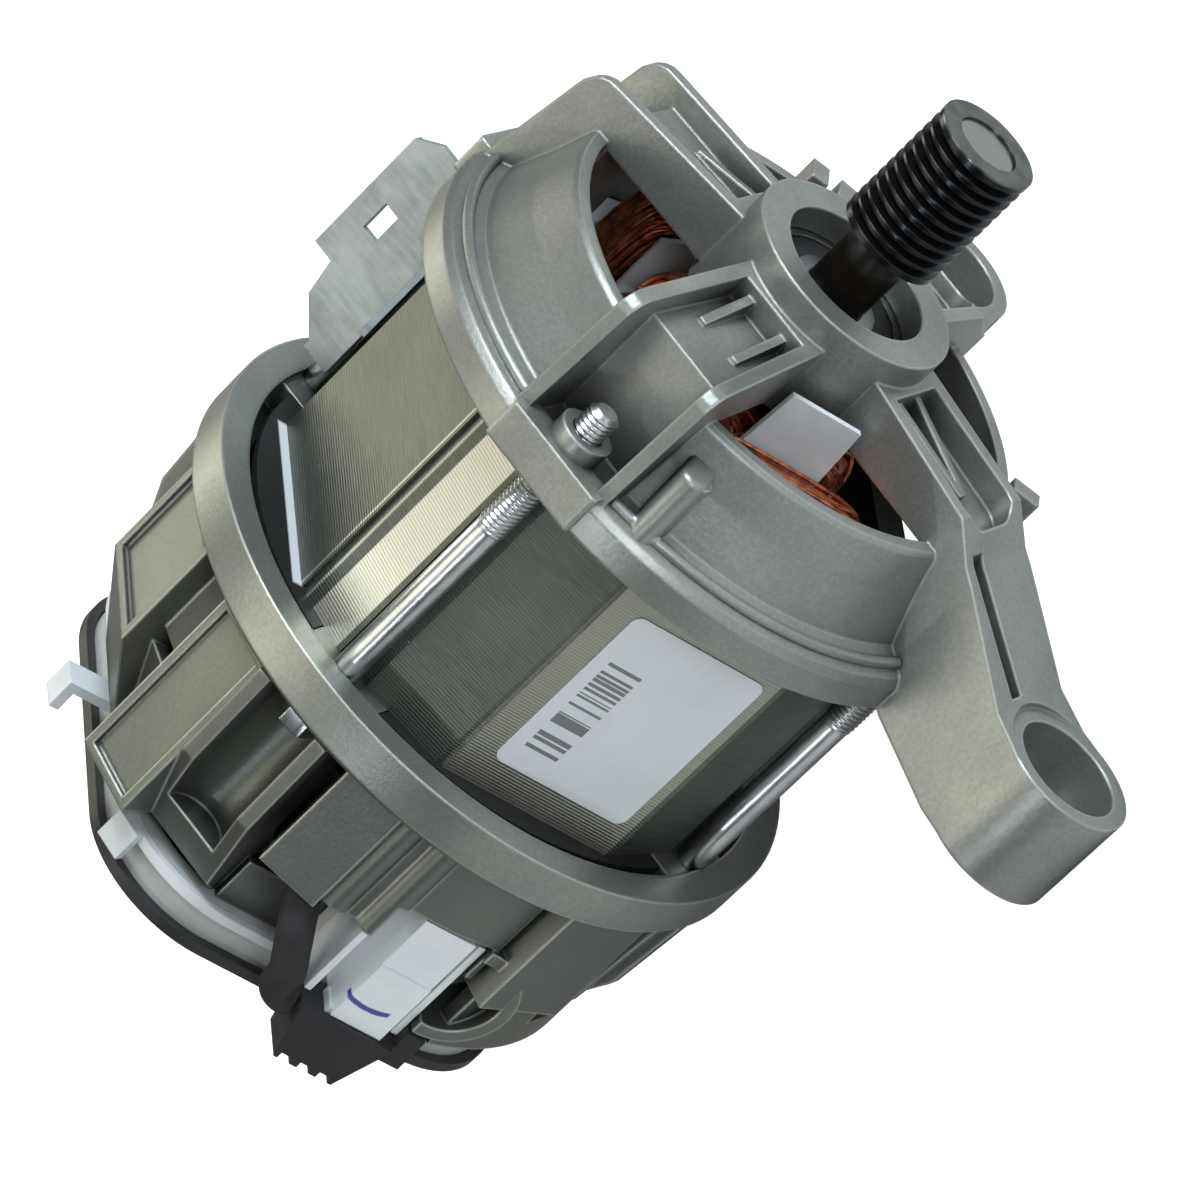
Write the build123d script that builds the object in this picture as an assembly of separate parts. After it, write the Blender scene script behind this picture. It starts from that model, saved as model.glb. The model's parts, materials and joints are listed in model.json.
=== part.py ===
# Washing machine motor: a series wound brush motor with a ribbed belt pulley.
#
# Everything is drawn about the shaft: X runs along the shaft towards the pulley, Y across
# the two mounting eyes, Z up, and X is zero on the front face of the hub. At the end the
# whole motor is moved so that the origin is the midpoint between the two mounting eyes, on
# their front faces. Stations are X values, so most of them are negative. An angle phi is
# measured about the shaft from -Y (the label side) towards +Z.
#
# Lengths are in millimetres and angles in degrees.

from build123d import *
import math
import os

os.makedirs("parts", exist_ok=True)

# General gaps and overrun
CUT_OVERRUN = 2.0
SEAT_GAP = 0.3
SLIP_GAP = 0.05
FACE_GAP = 0.1

# Mounting eyes
NEAR_EYE_SIDE = 65.8
NEAR_EYE_DROP = 59.5
FAR_EYE_SIDE = 67.5
FAR_EYE_DROP = 55.0
EYE_BORE_RADIUS = 10.2
EYE_OUTER_RADIUS = 13.2
EYE_LENGTH = 21.0
EYE_FACE_X = -25.0

# Stator core
STACK_FRONT_X = -40.5
STACK_LENGTH = 56.0
STACK_HALF_HEIGHT = 46.5
STACK_HALF_WIDTH = 49.8
STACK_TOP_FLAT_HALF = 22.4
STACK_SIDE_FLAT_HALF = 18.7
STACK_CORNER_RADIUS = 52.0
STACK_NOTCH_RADIUS = 50.6
STACK_NOTCH_HALF_ANGLE = 4.2
STACK_BORE_RADIUS = 27.3
POLE_HALF_WIDTH = 15.0
SLOT_INNER_Y = 26.5
SLOT_OUTER_Y = 39.4
SLOT_TOP_Z = 40.0
SLOT_SIDE_Z = 24.6
POLE_TIP_Y = 9.5
LAMINATION_GROOVE = 0.7

# Front shield, the cast cover at the pulley end
HUB_RADIUS = 21.0
HUB_HOLE_RADIUS = 14.8
HUB_LENGTH = 20.0
HUB_LIP = 5.4
FLANGE_WIDTH = 6.6
FLANGE_REAR_X = -42.5
FLANGE_FRONT_X = -35.6
FLANGE_SEAT_GAP = 2.4
DRUM_STEP_X = -33.1
DRUM_STEP_RADIUS = 54.7
RIM_X = -15.8
RIM_RADIUS = 49.0
DRUM_WALL = 3.0
ARM_HALF_WIDTH = 12.0
ARM_HUB_HALF_WIDTH = 10.3
ARM_WALL = 2.8
ARM_HUB_TOP_X = -5.0
ARM_TOP_X = -7.8
ARM_END_REACH = 55.6
ARM_CORNER_RADIUS = 5.5
ARM_DEPTH = 12.0
ARM_ROOT_DEPTH = 4.2
ARM_FLOOR_DROP = 5.5
ARM_CHANNEL_ROUND = 5.0
POCKET_START_REACH = 46.0
POCKET_FLOOR_X = -36.0
POCKET_WALL = 2.4
BOLT_BOSS_TOP_X = -31.0
BOLT_BOSS_RADIUS = 5.2
RIB_WIDTH = 1.7
RIB_LENGTH = 15.0
RIB_DROP = 1.6
RIB_OFFSET = 4.3
EYE_RIB_LENGTH = 20.0
EYE_CHANNEL_END_REACH = 48.5
EYE_ARM_SHOULDER_X = -13.0
EYE_ARM_HALF_WIDTH = 11.6
EYE_ARM_REAR_X = -43.0
EYE_SLOT_WIDTH = 3.6
EYE_SLOT_DEPTH = 14.0
DRUM_BOSS_RADIUS = 2.4
DRUM_BOSS_REACH = 55.0
LUG_WIDTH = 3.6
LUG_LENGTH = 12.0
LUG_HEIGHT = 5.6
CORNER_SLOT = 3.2
CORNER_SLOT_OFFSET = 7.4

# Through bolts
BOLT_CIRCLE_RADIUS = 54.67
BOLT_RADIUS = 2.7
BOLT_THREAD_RADIUS = 3.0
BOLT_TIP_X = -25.6
BOLT_THREAD_LENGTH = 31.4
BOLT_HEAD_FLATS = 8.0
BOLT_HEAD_LENGTH = 4.0
BOLT_WASHER_RADIUS = 5.2
BOLT_WASHER_THICKNESS = 1.0

# Rear shield, the cast cover at the brush end
RING_FRONT_X = -95.2
RING_REAR_X = -105.0
RING_RADIUS = 63.4
RING_REAR_RADIUS = 61.6
RING_INNER_RADIUS = 57.2
PAD_HALF_WIDTH = 9.2
PAD_INNER_REACH = 48.5
TROUGH_RADIUS = 6.4
REAR_ARM_SHOULDER_X = -128.0
REAR_ARM_SHOULDER_REACH = 60.0
REAR_ARM_END_REACH = 47.0
REAR_FACE_X = -149.0
REAR_ARM_THICKNESS = 10.0
REAR_ARM_INNER_REACH = 46.5
SPOKE_OUTER_REACH = 39.0
REAR_HUB_RADIUS = 20.0
REAR_HUB_FRONT_X = -130.5
REAR_HUB_LIP = 2.2
REAR_HUB_HOLE_RADIUS = 12.6
WEB_INNER_REACH = 28.0
WEB_OUTER_REACH = 41.0
WEB_HALF_WIDTH = 26.0
RING_LIP_RADIUS = 53.5
RING_LIP_LENGTH = 3.0
CHANNEL_HALF_WIDTH = 7.6
CHANNEL_REACH = 59.8
CHANNEL_DEPTH = 11.0
CHANNEL_RECESS = 1.2
CHANNEL_RIM = 1.7
BLOCK_HALF_WIDTH = 10.0
BLOCK_REACH = 60.6
BLOCK_REAR_X = -131.0
HOOD_HALF_WIDTH = 12.4
HOOD_CLEARANCE = 1.3
HOOD_WALL = 3.0
HOOD_SIDE_DEPTH = 13.0
HOOD_REAR_X = -130.0
STRIP_REACH = 56.0
STRIP_HALF_WIDTH = 7.0
STRIP_REAR_X = -123.5
STRIP_SLOT = 3.6
SIDE_WALL_RADIUS = 57.0
SIDE_WALL_THICKNESS = 3.0
SIDE_WALL_REAR_X = -129.0
SKIRT_REAR_X = -146.0
FAR_SKIRT_REAR_X = -131.0
SKIRT_RADIUS = 57.6
RIDGE_RADIUS = 3.2
RIDGE_REACH = 55.6
LOOP_OUTER_RADIUS = 11.4
LOOP_WALL = 2.6
LOOP_X = -132.5
LOOP_Z = -13.5
LOOP_DEPTH = 12.0

# Shaft, pulley and bearings
SHAFT_RADIUS = 6.0
SHAFT_END_X = 33.9
SHAFT_CORE_RADIUS = 8.0
SHAFT_REAR_RADIUS = 5.0
SHAFT_TAIL_X = -155.0
PULLEY_START_X = 8.9
PULLEY_LENGTH = 25.5
PULLEY_RADIUS = 9.9
PULLEY_RIB_PITCH = 2.34
PULLEY_RIB_COUNT = 10
PULLEY_RIB_DEPTH = 1.5
FRONT_BEARING_RADIUS = 16.0
FRONT_BEARING_WIDTH = 10.0
REAR_BEARING_RADIUS = 15.0
REAR_BEARING_WIDTH = 9.0
RACE_THICKNESS = 2.8
BALL_RADIUS = 1.9
BALL_COUNT = 8
SEAL_THICKNESS = 0.6
SEAL_INSET = 0.5
CLIP_THICKNESS = 1.2
CLIP_HEIGHT = 2.6
WASHER_THICKNESS = 0.8

# Armature
AIR_GAP = 0.6
ARMATURE_SLOTS = 12
ARMATURE_INSET = 1.5
ARMATURE_SLOT_WIDTH = 4.2
ARMATURE_SLOT_MOUTH = 1.8
ARMATURE_SLOT_DEPTH = 12.0
ARMATURE_TIP = 1.4
FRONT_WINDING_LENGTH = 15.0
REAR_WINDING_LENGTH = 12.0
WINDING_RADIUS = 24.2
WINDING_ROUND = 4.0
COMMUTATOR_RADIUS = 15.5
COMMUTATOR_BARS = 24
BAR_DEPTH = 3.4
BAR_SLOT = 0.7
COMMUTATOR_FRONT_X = -110.6
COMMUTATOR_LENGTH = 18.0
MAGNET_RADIUS = 11.0
MAGNET_FRONT_X = -150.4
MAGNET_LENGTH = 4.6

# Field coils and their insulation
COIL_WIRE_RADIUS = 0.62
COIL_LOOPS = 6
COIL_PITCH = 1.8
COIL_END_LENGTH = 17.0
COIL_CORNER_RADIUS = 7.0
COIL_SAMPLES_PER_LOOP = 120
COIL_HALF_HEIGHT = 21.8
INSULATOR_THICKNESS = 1.5
FRONT_INSULATOR_RADIUS = 51.2
REAR_INSULATOR_RADIUS = 54.6
INSULATOR_FLANGE_HEIGHT = 19.0
INSULATOR_FLANGE_THICKNESS = 1.2
INSULATOR_FLANGE_HALF = 17.0
INSULATOR_SHOULDER_HEIGHT = 14.5
INSULATOR_TAB_HALF = 7.5
INSULATOR_TAB_FLARE = 1.2
INSULATOR_SCALLOP = 2.2
FRONT_FLANGE_HEIGHT = 28.5
OUTER_FLANGE_HEIGHT = 9.5
OUTER_FLANGE_HALF = 13.6

# Brush gear
BRUSH_STATION_X = -119.6
BRUSH_WIDTH_X = 12.0
BRUSH_WIDTH_Y = 6.2
BRUSH_LENGTH = 20.0
GUIDE_GAP = 0.15
GUIDE_WALL = 0.6
GUIDE_START_REACH = 18.5
GUIDE_END_REACH = 50.0
HOLDER_WALL = 2.2
HOLDER_INNER_REACH = 30.0
HOLDER_OUTER_REACH = 45.0
HOLDER_FOOT_HALF = 16.0
HOLDER_FOOT_THICKNESS = 3.0
HOLDER_SCREW_OFFSET = 11.6
SPRING_RADIUS = 2.1
SPRING_WIRE_RADIUS = 0.35
SPRING_TURNS = 7
SCREW_RADIUS = 1.6
SCREW_HEAD_RADIUS = 3.2
SCREW_HEAD_HEIGHT = 2.0
SCREW_LENGTH = 9.0
TAB_WIDTH = 6.3
TAB_THICKNESS = 0.8
TAB_LENGTH = 5.0
TAB_FOOT_LENGTH = 10.0

# Rear cover and speed sensor
COVER_HALF_WIDTH = 42.6
COVER_CORNER = 20.4
COVER_STEP = 1.8
COVER_LIP = 1.6
COVER_WALL = 2.0
COVER_LENGTH = 10.9
COVER_RING_WALL = 1.8
COVER_RING_LENGTH = 2.4
SENSOR_OUTER_RADIUS = 18.5
SENSOR_INNER_RADIUS = 12.4
SENSOR_LENGTH = 5.0
COVER_SCREW_REACH = 34.0
COVER_POST_RADIUS = 5.0
COLLAR_THICKNESS = 1.6
SNAP_REACH = 55.5
SNAP_WIDTH = 6.0
SNAP_THICKNESS = 2.0
SNAP_LENGTH = 6.6

# Connector on the label side
CONNECTOR_FACE_Y = -56.6
CONNECTOR_DEPTH = 12.0
CONNECTOR_FRONT_X = -121.6
CONNECTOR_LENGTH = 27.0
CONNECTOR_TOP_Z = 2.0
CONNECTOR_HEIGHT = 11.0
CONNECTOR_WALL = 1.2
CONNECTOR_STEP = 1.0
FLANGE_PLATE = 1.4
FLANGE_LOWER_GAP = 1.8
FLANGE_UPPER_GAP = 5.0
FLANGE_PLATE_DEPTH = 10.0
CONNECTOR_PAD = 0.4
CONNECTOR_PAD_LENGTH = 14.5
PIN_COUNT = 3
PIN_THICKNESS = 0.8
PIN_LENGTH = 17.0
CELL_WALL = 0.8
CELL_DEPTH = 14.0
BOOT_LENGTH = 12.4
BOOT_WALL = 1.7
BOOT_FRONT_TOP_Z = 8.0
BOOT_FRONT_BOTTOM_Z = -12.0
BOOT_REAR_TOP_Z = 4.7
BOOT_REAR_BOTTOM_Z = -8.0
BOOT_DEPTH = 9.2
BOOT_PROUD = 1.4
BOOT_TOOTH = 2.6
BOOT_TOOTH_COUNT = 3
BOOT_EAR_LENGTH = 8.0
BOOT_EAR_HEIGHT = 4.0
TAIL_LENGTH = 7.0
SLEEVE_RADIUS = 3.4
SLEEVE_BEND = 4.0
SLEEVE_END_SHARE = 0.24
SLEEVE_ROUTE = ((-124.0, -42.0, 20.0), (-131.5, -46.3, 19.6), (-138.0, -52.8, 17.5),
                (-146.0, -54.8, 13.2))

# Bracket, label
BRACKET_THICKNESS = 1.4
BRACKET_OFFSET = 5.6
BRACKET_FRONT_X = -43.6
BRACKET_REAR_X = -90.0
BRACKET_HEIGHT = 17.6
BRACKET_WINDOW_X = -62.6
BRACKET_WINDOW_LENGTH = 6.5
BRACKET_WINDOW_HEIGHT = 3.4
BRACKET_HEM = 1.2
BRACKET_FOOT_WIDTH = 9.0
LABEL_FRONT_X = -50.4
LABEL_REAR_X = -89.6
LABEL_TOP_Z = 12.8
LABEL_BOTTOM_Z = -15.8
LABEL_THICKNESS = 0.2
LABEL_CORNER = 2.0

# Angles about the shaft
CORNER_ANGLES = (45.0, -45.0, 135.0, -135.0)
EYE_ARM_ANGLES = (-45.0, -135.0)
PLAIN_ARM_ANGLES = (45.0, 135.0)
CHANNEL_ANGLES = (61.0, -119.0)
BLOCK_ANGLES = (-25.5, 154.5)
HOOD_ANGLES = (90.0, -90.0)
SIDE_WALL_ANGLES = (9.0, 189.0)
SIDE_WALL_SPREAD = 46.0
SKIRT_ANGLE = -47.0
FAR_SKIRT_ANGLE = 133.0
SKIRT_SPREAD = 58.0
STRIP_ANGLES = (73.5, -106.5)
FLAT_PANEL_ANGLES = (25.6, 205.6)
FLAT_PANEL_HALF_WIDTH = 6.3
FLAT_PANEL_REACH = 58.6
RIDGE_ANGLES = (17.0, 9.0, 197.0, 189.0)
DRUM_BOSS_ANGLES = (25.0, 205.0)
LUG_ANGLES = (-76.0, -161.0, -168.0)
BRACKET_ANGLE = 135.0
BRACKET_FOOT_ANGLE = 123.4
SNAP_ANGLES = (89.0, 53.0, -91.0, -127.0)
WEB_ANGLES = (0.0, 90.0, 180.0, -90.0)

# Worked-out sizes and stations
FLANGE_SEAT_RADIUS = STACK_CORNER_RADIUS + FLANGE_SEAT_GAP
FLANGE_RADIUS = FLANGE_SEAT_RADIUS + FLANGE_WIDTH
BRACKET_FOOT_REACH = STACK_CORNER_RADIUS + BRACKET_THICKNESS
BRACKET_TOP_REACH = BRACKET_FOOT_REACH + BRACKET_HEIGHT
STACK_REAR_X = STACK_FRONT_X - STACK_LENGTH
ARMATURE_RADIUS = STACK_BORE_RADIUS - AIR_GAP
FRONT_BEARING_X = -HUB_LIP - FRONT_BEARING_WIDTH
REAR_SEAT_X = REAR_HUB_FRONT_X - REAR_HUB_LIP
REAR_BEARING_X = REAR_SEAT_X - WASHER_THICKNESS - 2 * FACE_GAP - REAR_BEARING_WIDTH
SHAFT_SHOULDER_X = FRONT_BEARING_X - FACE_GAP
SHAFT_REAR_SHOULDER_X = REAR_BEARING_X + REAR_BEARING_WIDTH + FACE_GAP
ARMATURE_FRONT_X = STACK_FRONT_X - ARMATURE_INSET
ARMATURE_REAR_X = STACK_REAR_X + ARMATURE_INSET
COMMUTATOR_REAR_X = COMMUTATOR_FRONT_X - COMMUTATOR_LENGTH
GUIDE_HALF_X = BRUSH_WIDTH_X / 2 + GUIDE_GAP + GUIDE_WALL
GUIDE_HALF_Y = BRUSH_WIDTH_Y / 2 + GUIDE_GAP + GUIDE_WALL
HOOD_REACH = GUIDE_END_REACH + FACE_GAP + TAB_LENGTH + HOOD_CLEARANCE + HOOD_WALL
BRUSH_INNER_REACH = COMMUTATOR_RADIUS + SEAT_GAP
BRUSH_OUTER_REACH = BRUSH_INNER_REACH + BRUSH_LENGTH
WEB_FRONT_X = REAR_FACE_X + REAR_ARM_THICKNESS
CONNECTOR_REAR_X = CONNECTOR_FRONT_X - CONNECTOR_LENGTH
COVER_FRONT_X = REAR_FACE_X - FACE_GAP
COVER_REAR_X = COVER_FRONT_X - COVER_LENGTH
TO_EYES = Pos(-EYE_FACE_X, (NEAR_EYE_SIDE - FAR_EYE_SIDE) / 2,
              (NEAR_EYE_DROP + FAR_EYE_DROP) / 2)


def lathe(points):
    """Turn a closed outline of (x, radius) points about the shaft axis."""
    with BuildPart() as part:
        with BuildSketch(Plane.XY):
            with BuildLine():
                Polyline(*points, close=True)
            make_face()
        revolve(axis=Axis.X)
    return part.part


def rod(x_low, x_high, radius, y=0, z=0):
    """A solid round bar along X."""
    length = x_high - x_low
    return Pos((x_low + x_high) / 2, y, z) * Rot(0, 90, 0) * Cylinder(radius, length)


def tube(x_low, x_high, outer, inner, y=0, z=0):
    """A round tube along X."""
    bore = rod(x_low - CUT_OVERRUN, x_high + CUT_OVERRUN, inner, y, z)
    return rod(x_low, x_high, outer, y, z) - bore


def block(x, y, z):
    """A box between pairs of coordinates on each axis."""
    size = [abs(pair[1] - pair[0]) for pair in (x, y, z)]
    centre = [(pair[0] + pair[1]) / 2 for pair in (x, y, z)]
    return Pos(*centre) * Box(*size)


def turned(shape, phi):
    """Carry a shape drawn at phi zero to the angle phi."""
    return Rot(-phi, 0, 0) * shape


def slab(points, t_low, t_high):
    """A plate in the plane of the shaft, from (x, reach) points, between two offsets."""
    outline = [(x, -reach) for x, reach in points]
    with BuildPart() as part:
        with BuildSketch(Plane.XY.offset(t_low)):
            with BuildLine():
                Polyline(*outline, close=True)
            make_face()
        extrude(amount=t_high - t_low)
    return part.part


def plan(points, x_low, x_high):
    """A bar along X whose section is given by (reach, offset) points."""
    outline = [(-reach, offset) for reach, offset in points]
    with BuildPart() as part:
        with BuildSketch(Plane.YZ.offset(x_low)):
            with BuildLine():
                Polyline(*outline, close=True)
            make_face()
        extrude(amount=x_high - x_low)
    return part.part


def upright(points, y_low, y_high):
    """A plate between two Y values from (x, z) points."""
    with BuildPart() as part:
        with BuildSketch(Plane(origin=(0, y_high, 0), x_dir=(1, 0, 0), z_dir=(0, -1, 0))):
            with BuildLine():
                Polyline(*points, close=True)
            make_face()
        extrude(amount=y_high - y_low)
    return part.part


def rounded_bar(x_low, x_high, half, corner):
    """A bar along X of square section with rounded corners."""
    with BuildPart() as part:
        with BuildSketch(Plane.YZ.offset(x_low)):
            RectangleRounded(2 * half, 2 * half, corner)
        extrude(amount=x_high - x_low)
    return part.part


def rounded_tube(x_low, x_high, half, corner, wall):
    """A frame of square section with rounded corners, measured over its outside."""
    hole = rounded_bar(x_low - CUT_OVERRUN, x_high + CUT_OVERRUN, half - wall, corner - wall)
    return rounded_bar(x_low, x_high, half, corner) - hole


def panel(x, reach, offset):
    """A box at phi zero, from pairs of x, reach and offset values."""
    return block(x, (-reach[0], -reach[1]), offset)


def polar(radius, phi):
    """The Y and Z of a point at a radius and an angle about the shaft."""
    angle = math.radians(phi)
    return (-radius * math.cos(angle), radius * math.sin(angle))


def joined(shapes):
    """Fuse a list of shapes into one."""
    result = shapes[0]
    for shape in shapes[1:]:
        result = result + shape
    return result


def group(shapes):
    """Keep a list of separate solids together."""
    return Compound([solid for shape in shapes for solid in shape.solids()])


def sector(x_low, x_high, reach, phi, spread):
    """A wedge about the shaft, centred on phi, for cutting a ring to an arc."""
    half = math.radians(spread / 2)
    far = reach / math.cos(half)
    points = [(0, 0), (far * math.cos(half), -far * math.sin(half))]
    points += [(far, 0)]
    points += [(far * math.cos(half), far * math.sin(half))]
    return turned(plan(points, x_low, x_high), phi)


def bent_line(points, radius):
    """Straight runs joined by tangent arcs."""
    with BuildLine() as path:
        FilletPolyline(*points, radius=radius)
    return path.wires()[0]


def swept_tube(line, radius):
    """A round tube along a line."""
    with BuildPart() as part:
        with BuildSketch(Plane(origin=line @ 0, z_dir=line % 0)):
            Circle(radius)
        sweep(path=line)
    return part.part


def least_self_gap(line, radius, samples, apart):
    """Least free distance between stretches of a tube that lie apart along it."""
    points = [tuple(line @ (index / samples)) for index in range(samples + 1)]
    skip = math.ceil(apart * samples / line.length)
    distances = []
    for index, point in enumerate(points):
        distances += [math.dist(point, other) for other in points[index + skip:]]
    return min(distances) - 2 * radius


def stack_quadrant():
    """Corner of the lamination outline, from the top flat round to the side flat."""
    high = math.radians(45 + STACK_NOTCH_HALF_ANGLE)
    low = math.radians(45 - STACK_NOTCH_HALF_ANGLE)
    groove = LAMINATION_GROOVE
    points = [(STACK_TOP_FLAT_HALF - groove, STACK_HALF_HEIGHT)]
    points += [(STACK_TOP_FLAT_HALF - groove, STACK_HALF_HEIGHT - groove)]
    points += [(STACK_TOP_FLAT_HALF + groove, STACK_HALF_HEIGHT - groove)]
    points += [(STACK_CORNER_RADIUS * math.cos(high), STACK_CORNER_RADIUS * math.sin(high))]
    points += [(STACK_NOTCH_RADIUS * math.cos(high), STACK_NOTCH_RADIUS * math.sin(high))]
    points += [(STACK_NOTCH_RADIUS * math.cos(low), STACK_NOTCH_RADIUS * math.sin(low))]
    points += [(STACK_CORNER_RADIUS * math.cos(low), STACK_CORNER_RADIUS * math.sin(low))]
    points += [(STACK_HALF_WIDTH - groove, STACK_SIDE_FLAT_HALF + groove)]
    points += [(STACK_HALF_WIDTH - groove, STACK_SIDE_FLAT_HALF - groove)]
    points += [(STACK_HALF_WIDTH, STACK_SIDE_FLAT_HALF - groove)]
    return points


def section_bar(outline, x_low, x_high):
    """A bar along X from a closed outline of (y, z) points."""
    return plan([(-y, z) for y, z in outline], x_low, x_high)


def coil_window(x_low, x_high):
    """The two slots of the stator that hold the coil sides, with the gap between poles."""
    middle_share = 0.36
    waist_share = 0.5
    tip_radius = STACK_BORE_RADIUS + WINDING_ROUND / 2
    tip_z = math.sqrt(tip_radius ** 2 - POLE_TIP_Y ** 2)
    waist_y = (SLOT_INNER_Y + POLE_TIP_Y) * waist_share
    waist_z = math.sqrt(tip_radius ** 2 - waist_y ** 2)
    half = [(POLE_TIP_Y, POLE_HALF_WIDTH)]
    half += [(POLE_TIP_Y, tip_z)]
    half += [(waist_y, waist_z)]
    half += [(SLOT_INNER_Y, POLE_HALF_WIDTH)]
    half += [(SLOT_OUTER_Y, POLE_HALF_WIDTH)]
    half += [(SLOT_OUTER_Y, SLOT_SIDE_Z)]
    half += [(SLOT_OUTER_Y * middle_share, SLOT_TOP_Z)]
    outline = half + [(-y, z) for y, z in reversed(half)]
    upper = section_bar(outline, x_low, x_high)
    return upper + turned(upper, 180)


def make_stator_core():
    """Stack of laminations with two poles, facing the label side and the far side."""
    first = stack_quadrant()
    outline = first + [(y, -z) for y, z in reversed(first)]
    outline += [(-y, -z) for y, z in first] + [(-y, z) for y, z in reversed(first)]
    core = section_bar(outline, STACK_REAR_X, STACK_FRONT_X)
    low = STACK_REAR_X - CUT_OVERRUN
    high = STACK_FRONT_X + CUT_OVERRUN
    return core - rod(low, high, STACK_BORE_RADIUS) - coil_window(low, high)


def coil_layout():
    """Named places of a coil: its outer ends along X, and the inner edge of its sides."""
    front = STACK_FRONT_X + COIL_END_LENGTH
    rear = STACK_REAR_X - COIL_END_LENGTH
    inner = POLE_HALF_WIDTH + SEAT_GAP + INSULATOR_FLANGE_THICKNESS / 2
    return front, rear, inner


def make_field_coil():
    """Coil of the label side pole: an outer layer of wire wound over a solid pack."""
    front, rear, inner = coil_layout()
    first_y = -(SLOT_INNER_Y + SEAT_GAP + COIL_WIRE_RADIUS)
    z_run = COIL_HALF_HEIGHT - COIL_WIRE_RADIUS
    x_front = front - COIL_WIRE_RADIUS
    x_rear = rear + COIL_WIRE_RADIUS
    x_middle = (x_front + x_rear) / 2
    points = [(x_middle, first_y, -z_run)]
    for loop in range(COIL_LOOPS):
        y = first_y - loop * COIL_PITCH
        points += [(x_front, y, -z_run), (x_front, y, z_run), (x_rear, y, z_run)]
        points += [(x_rear, y - COIL_PITCH, -z_run)]
    points += [(x_middle, first_y - COIL_LOOPS * COIL_PITCH, -z_run)]
    line = bent_line(points, COIL_CORNER_RADIUS)
    wire = swept_tube(line, COIL_WIRE_RADIUS)
    gap = least_self_gap(line, COIL_WIRE_RADIUS, COIL_LOOPS * COIL_SAMPLES_PER_LOOP,
                         math.pi * COIL_CORNER_RADIUS)
    print("least gap between the loops of a field coil", round(gap, 3))
    inset = 2 * COIL_WIRE_RADIUS + SEAT_GAP
    y_far = first_y - COIL_LOOPS * COIL_PITCH
    outer = block((rear + inset, front - inset), (y_far, first_y),
                  (-COIL_HALF_HEIGHT + inset, COIL_HALF_HEIGHT - inset))
    side = COIL_HALF_HEIGHT - inner
    hole = block((rear + side, front - side), (y_far - CUT_OVERRUN, first_y + CUT_OVERRUN),
                 (-inner, inner))
    radius = COIL_CORNER_RADIUS - inset / 2
    pack = fillet(outer.edges().filter_by(Axis.Y), radius) - hole
    return group([wire, pack])


def insulator_flange(x_root, direction, height):
    """Walls that keep the coil end in place: an inner one with a tall middle tab and
    pointed shoulders, and a low outer one, on the label side."""
    y_inner = -(SLOT_INNER_Y - SEAT_GAP)
    shoulder = INSULATOR_SHOULDER_HEIGHT
    tab_foot = INSULATOR_TAB_HALF + INSULATOR_TAB_FLARE
    middle = (tab_foot + INSULATOR_FLANGE_HALF) / 2
    half = [(0, INSULATOR_FLANGE_HALF), (shoulder - INSULATOR_SCALLOP, INSULATOR_FLANGE_HALF)]
    half += [(shoulder, middle), (shoulder - INSULATOR_SCALLOP, tab_foot)]
    half += [(height, INSULATOR_TAB_HALF)]
    outline = [(x_root + direction * rise, z) for rise, z in half]
    outline += [(x_root + direction * rise, -z) for rise, z in reversed(half)]
    wall = upright(outline, y_inner, y_inner + INSULATOR_FLANGE_THICKNESS)
    y_outer = -(SLOT_OUTER_Y + SEAT_GAP)
    outer = block((x_root, x_root + direction * OUTER_FLANGE_HEIGHT),
                  (y_outer, y_outer - INSULATOR_FLANGE_THICKNESS),
                  (-OUTER_FLANGE_HALF, OUTER_FLANGE_HALF))
    return wall + outer


def make_insulator(x_stack, direction, radius, corner_reach, corner_half, height):
    """White end plate on one face of the stack, with its coil walls."""
    x_far = x_stack + direction * INSULATOR_THICKNESS
    low, high = sorted((x_stack, x_far))
    plate = rod(low, high, radius)
    plate = plate - rod(low - CUT_OVERRUN, high + CUT_OVERRUN, STACK_BORE_RADIUS + SEAT_GAP)
    plate = plate - coil_window(low - CUT_OVERRUN, high + CUT_OVERRUN)
    for phi in CORNER_ANGLES:
        gap = panel((low - CUT_OVERRUN, high + CUT_OVERRUN),
                    (corner_reach - SEAT_GAP, radius + CUT_OVERRUN),
                    (-corner_half - SEAT_GAP, corner_half + SEAT_GAP))
        plate = plate - turned(gap, phi)
    walls = insulator_flange(x_stack, direction, height)
    return plate + walls + turned(walls, 180)


def make_front_insulator():
    """The label side one of the two insulator pieces on the front face of the stack."""
    both = make_insulator(STACK_FRONT_X, 1, FRONT_INSULATOR_RADIUS,
                          POCKET_START_REACH - POCKET_WALL, ARM_HALF_WIDTH,
                          FRONT_FLANGE_HEIGHT)
    return both.solids().sort_by(Axis.Y)[0]


def hex_head(x_low, x_high, flats, y=0, z=0):
    """A hexagonal head along X."""
    with BuildPart() as part:
        with BuildSketch(Plane.YZ.offset(x_low)):
            RegularPolygon(flats / 2, 6, major_radius=False)
        extrude(amount=x_high - x_low)
    return Pos(0, y, z) * part.part


def make_through_bolts():
    """Four long bolts that clamp the two shields on the stack."""
    bolts = []
    thread_end = BOLT_TIP_X - BOLT_THREAD_LENGTH
    washer_front = RING_REAR_X - FACE_GAP
    washer_rear = washer_front - BOLT_WASHER_THICKNESS
    for phi in CORNER_ANGLES:
        y, z = polar(BOLT_CIRCLE_RADIUS, phi)
        bolt = rod(thread_end, BOLT_TIP_X, BOLT_THREAD_RADIUS, y, z)
        bolt = bolt + rod(washer_rear - BOLT_HEAD_LENGTH / 2, thread_end, BOLT_RADIUS, y, z)
        bolt = bolt + rod(washer_rear, washer_front, BOLT_WASHER_RADIUS, y, z)
        head = hex_head(washer_rear - BOLT_HEAD_LENGTH, washer_rear, BOLT_HEAD_FLATS, y, z)
        bolts.append(bolt + head)
    return group(bolts)


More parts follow.
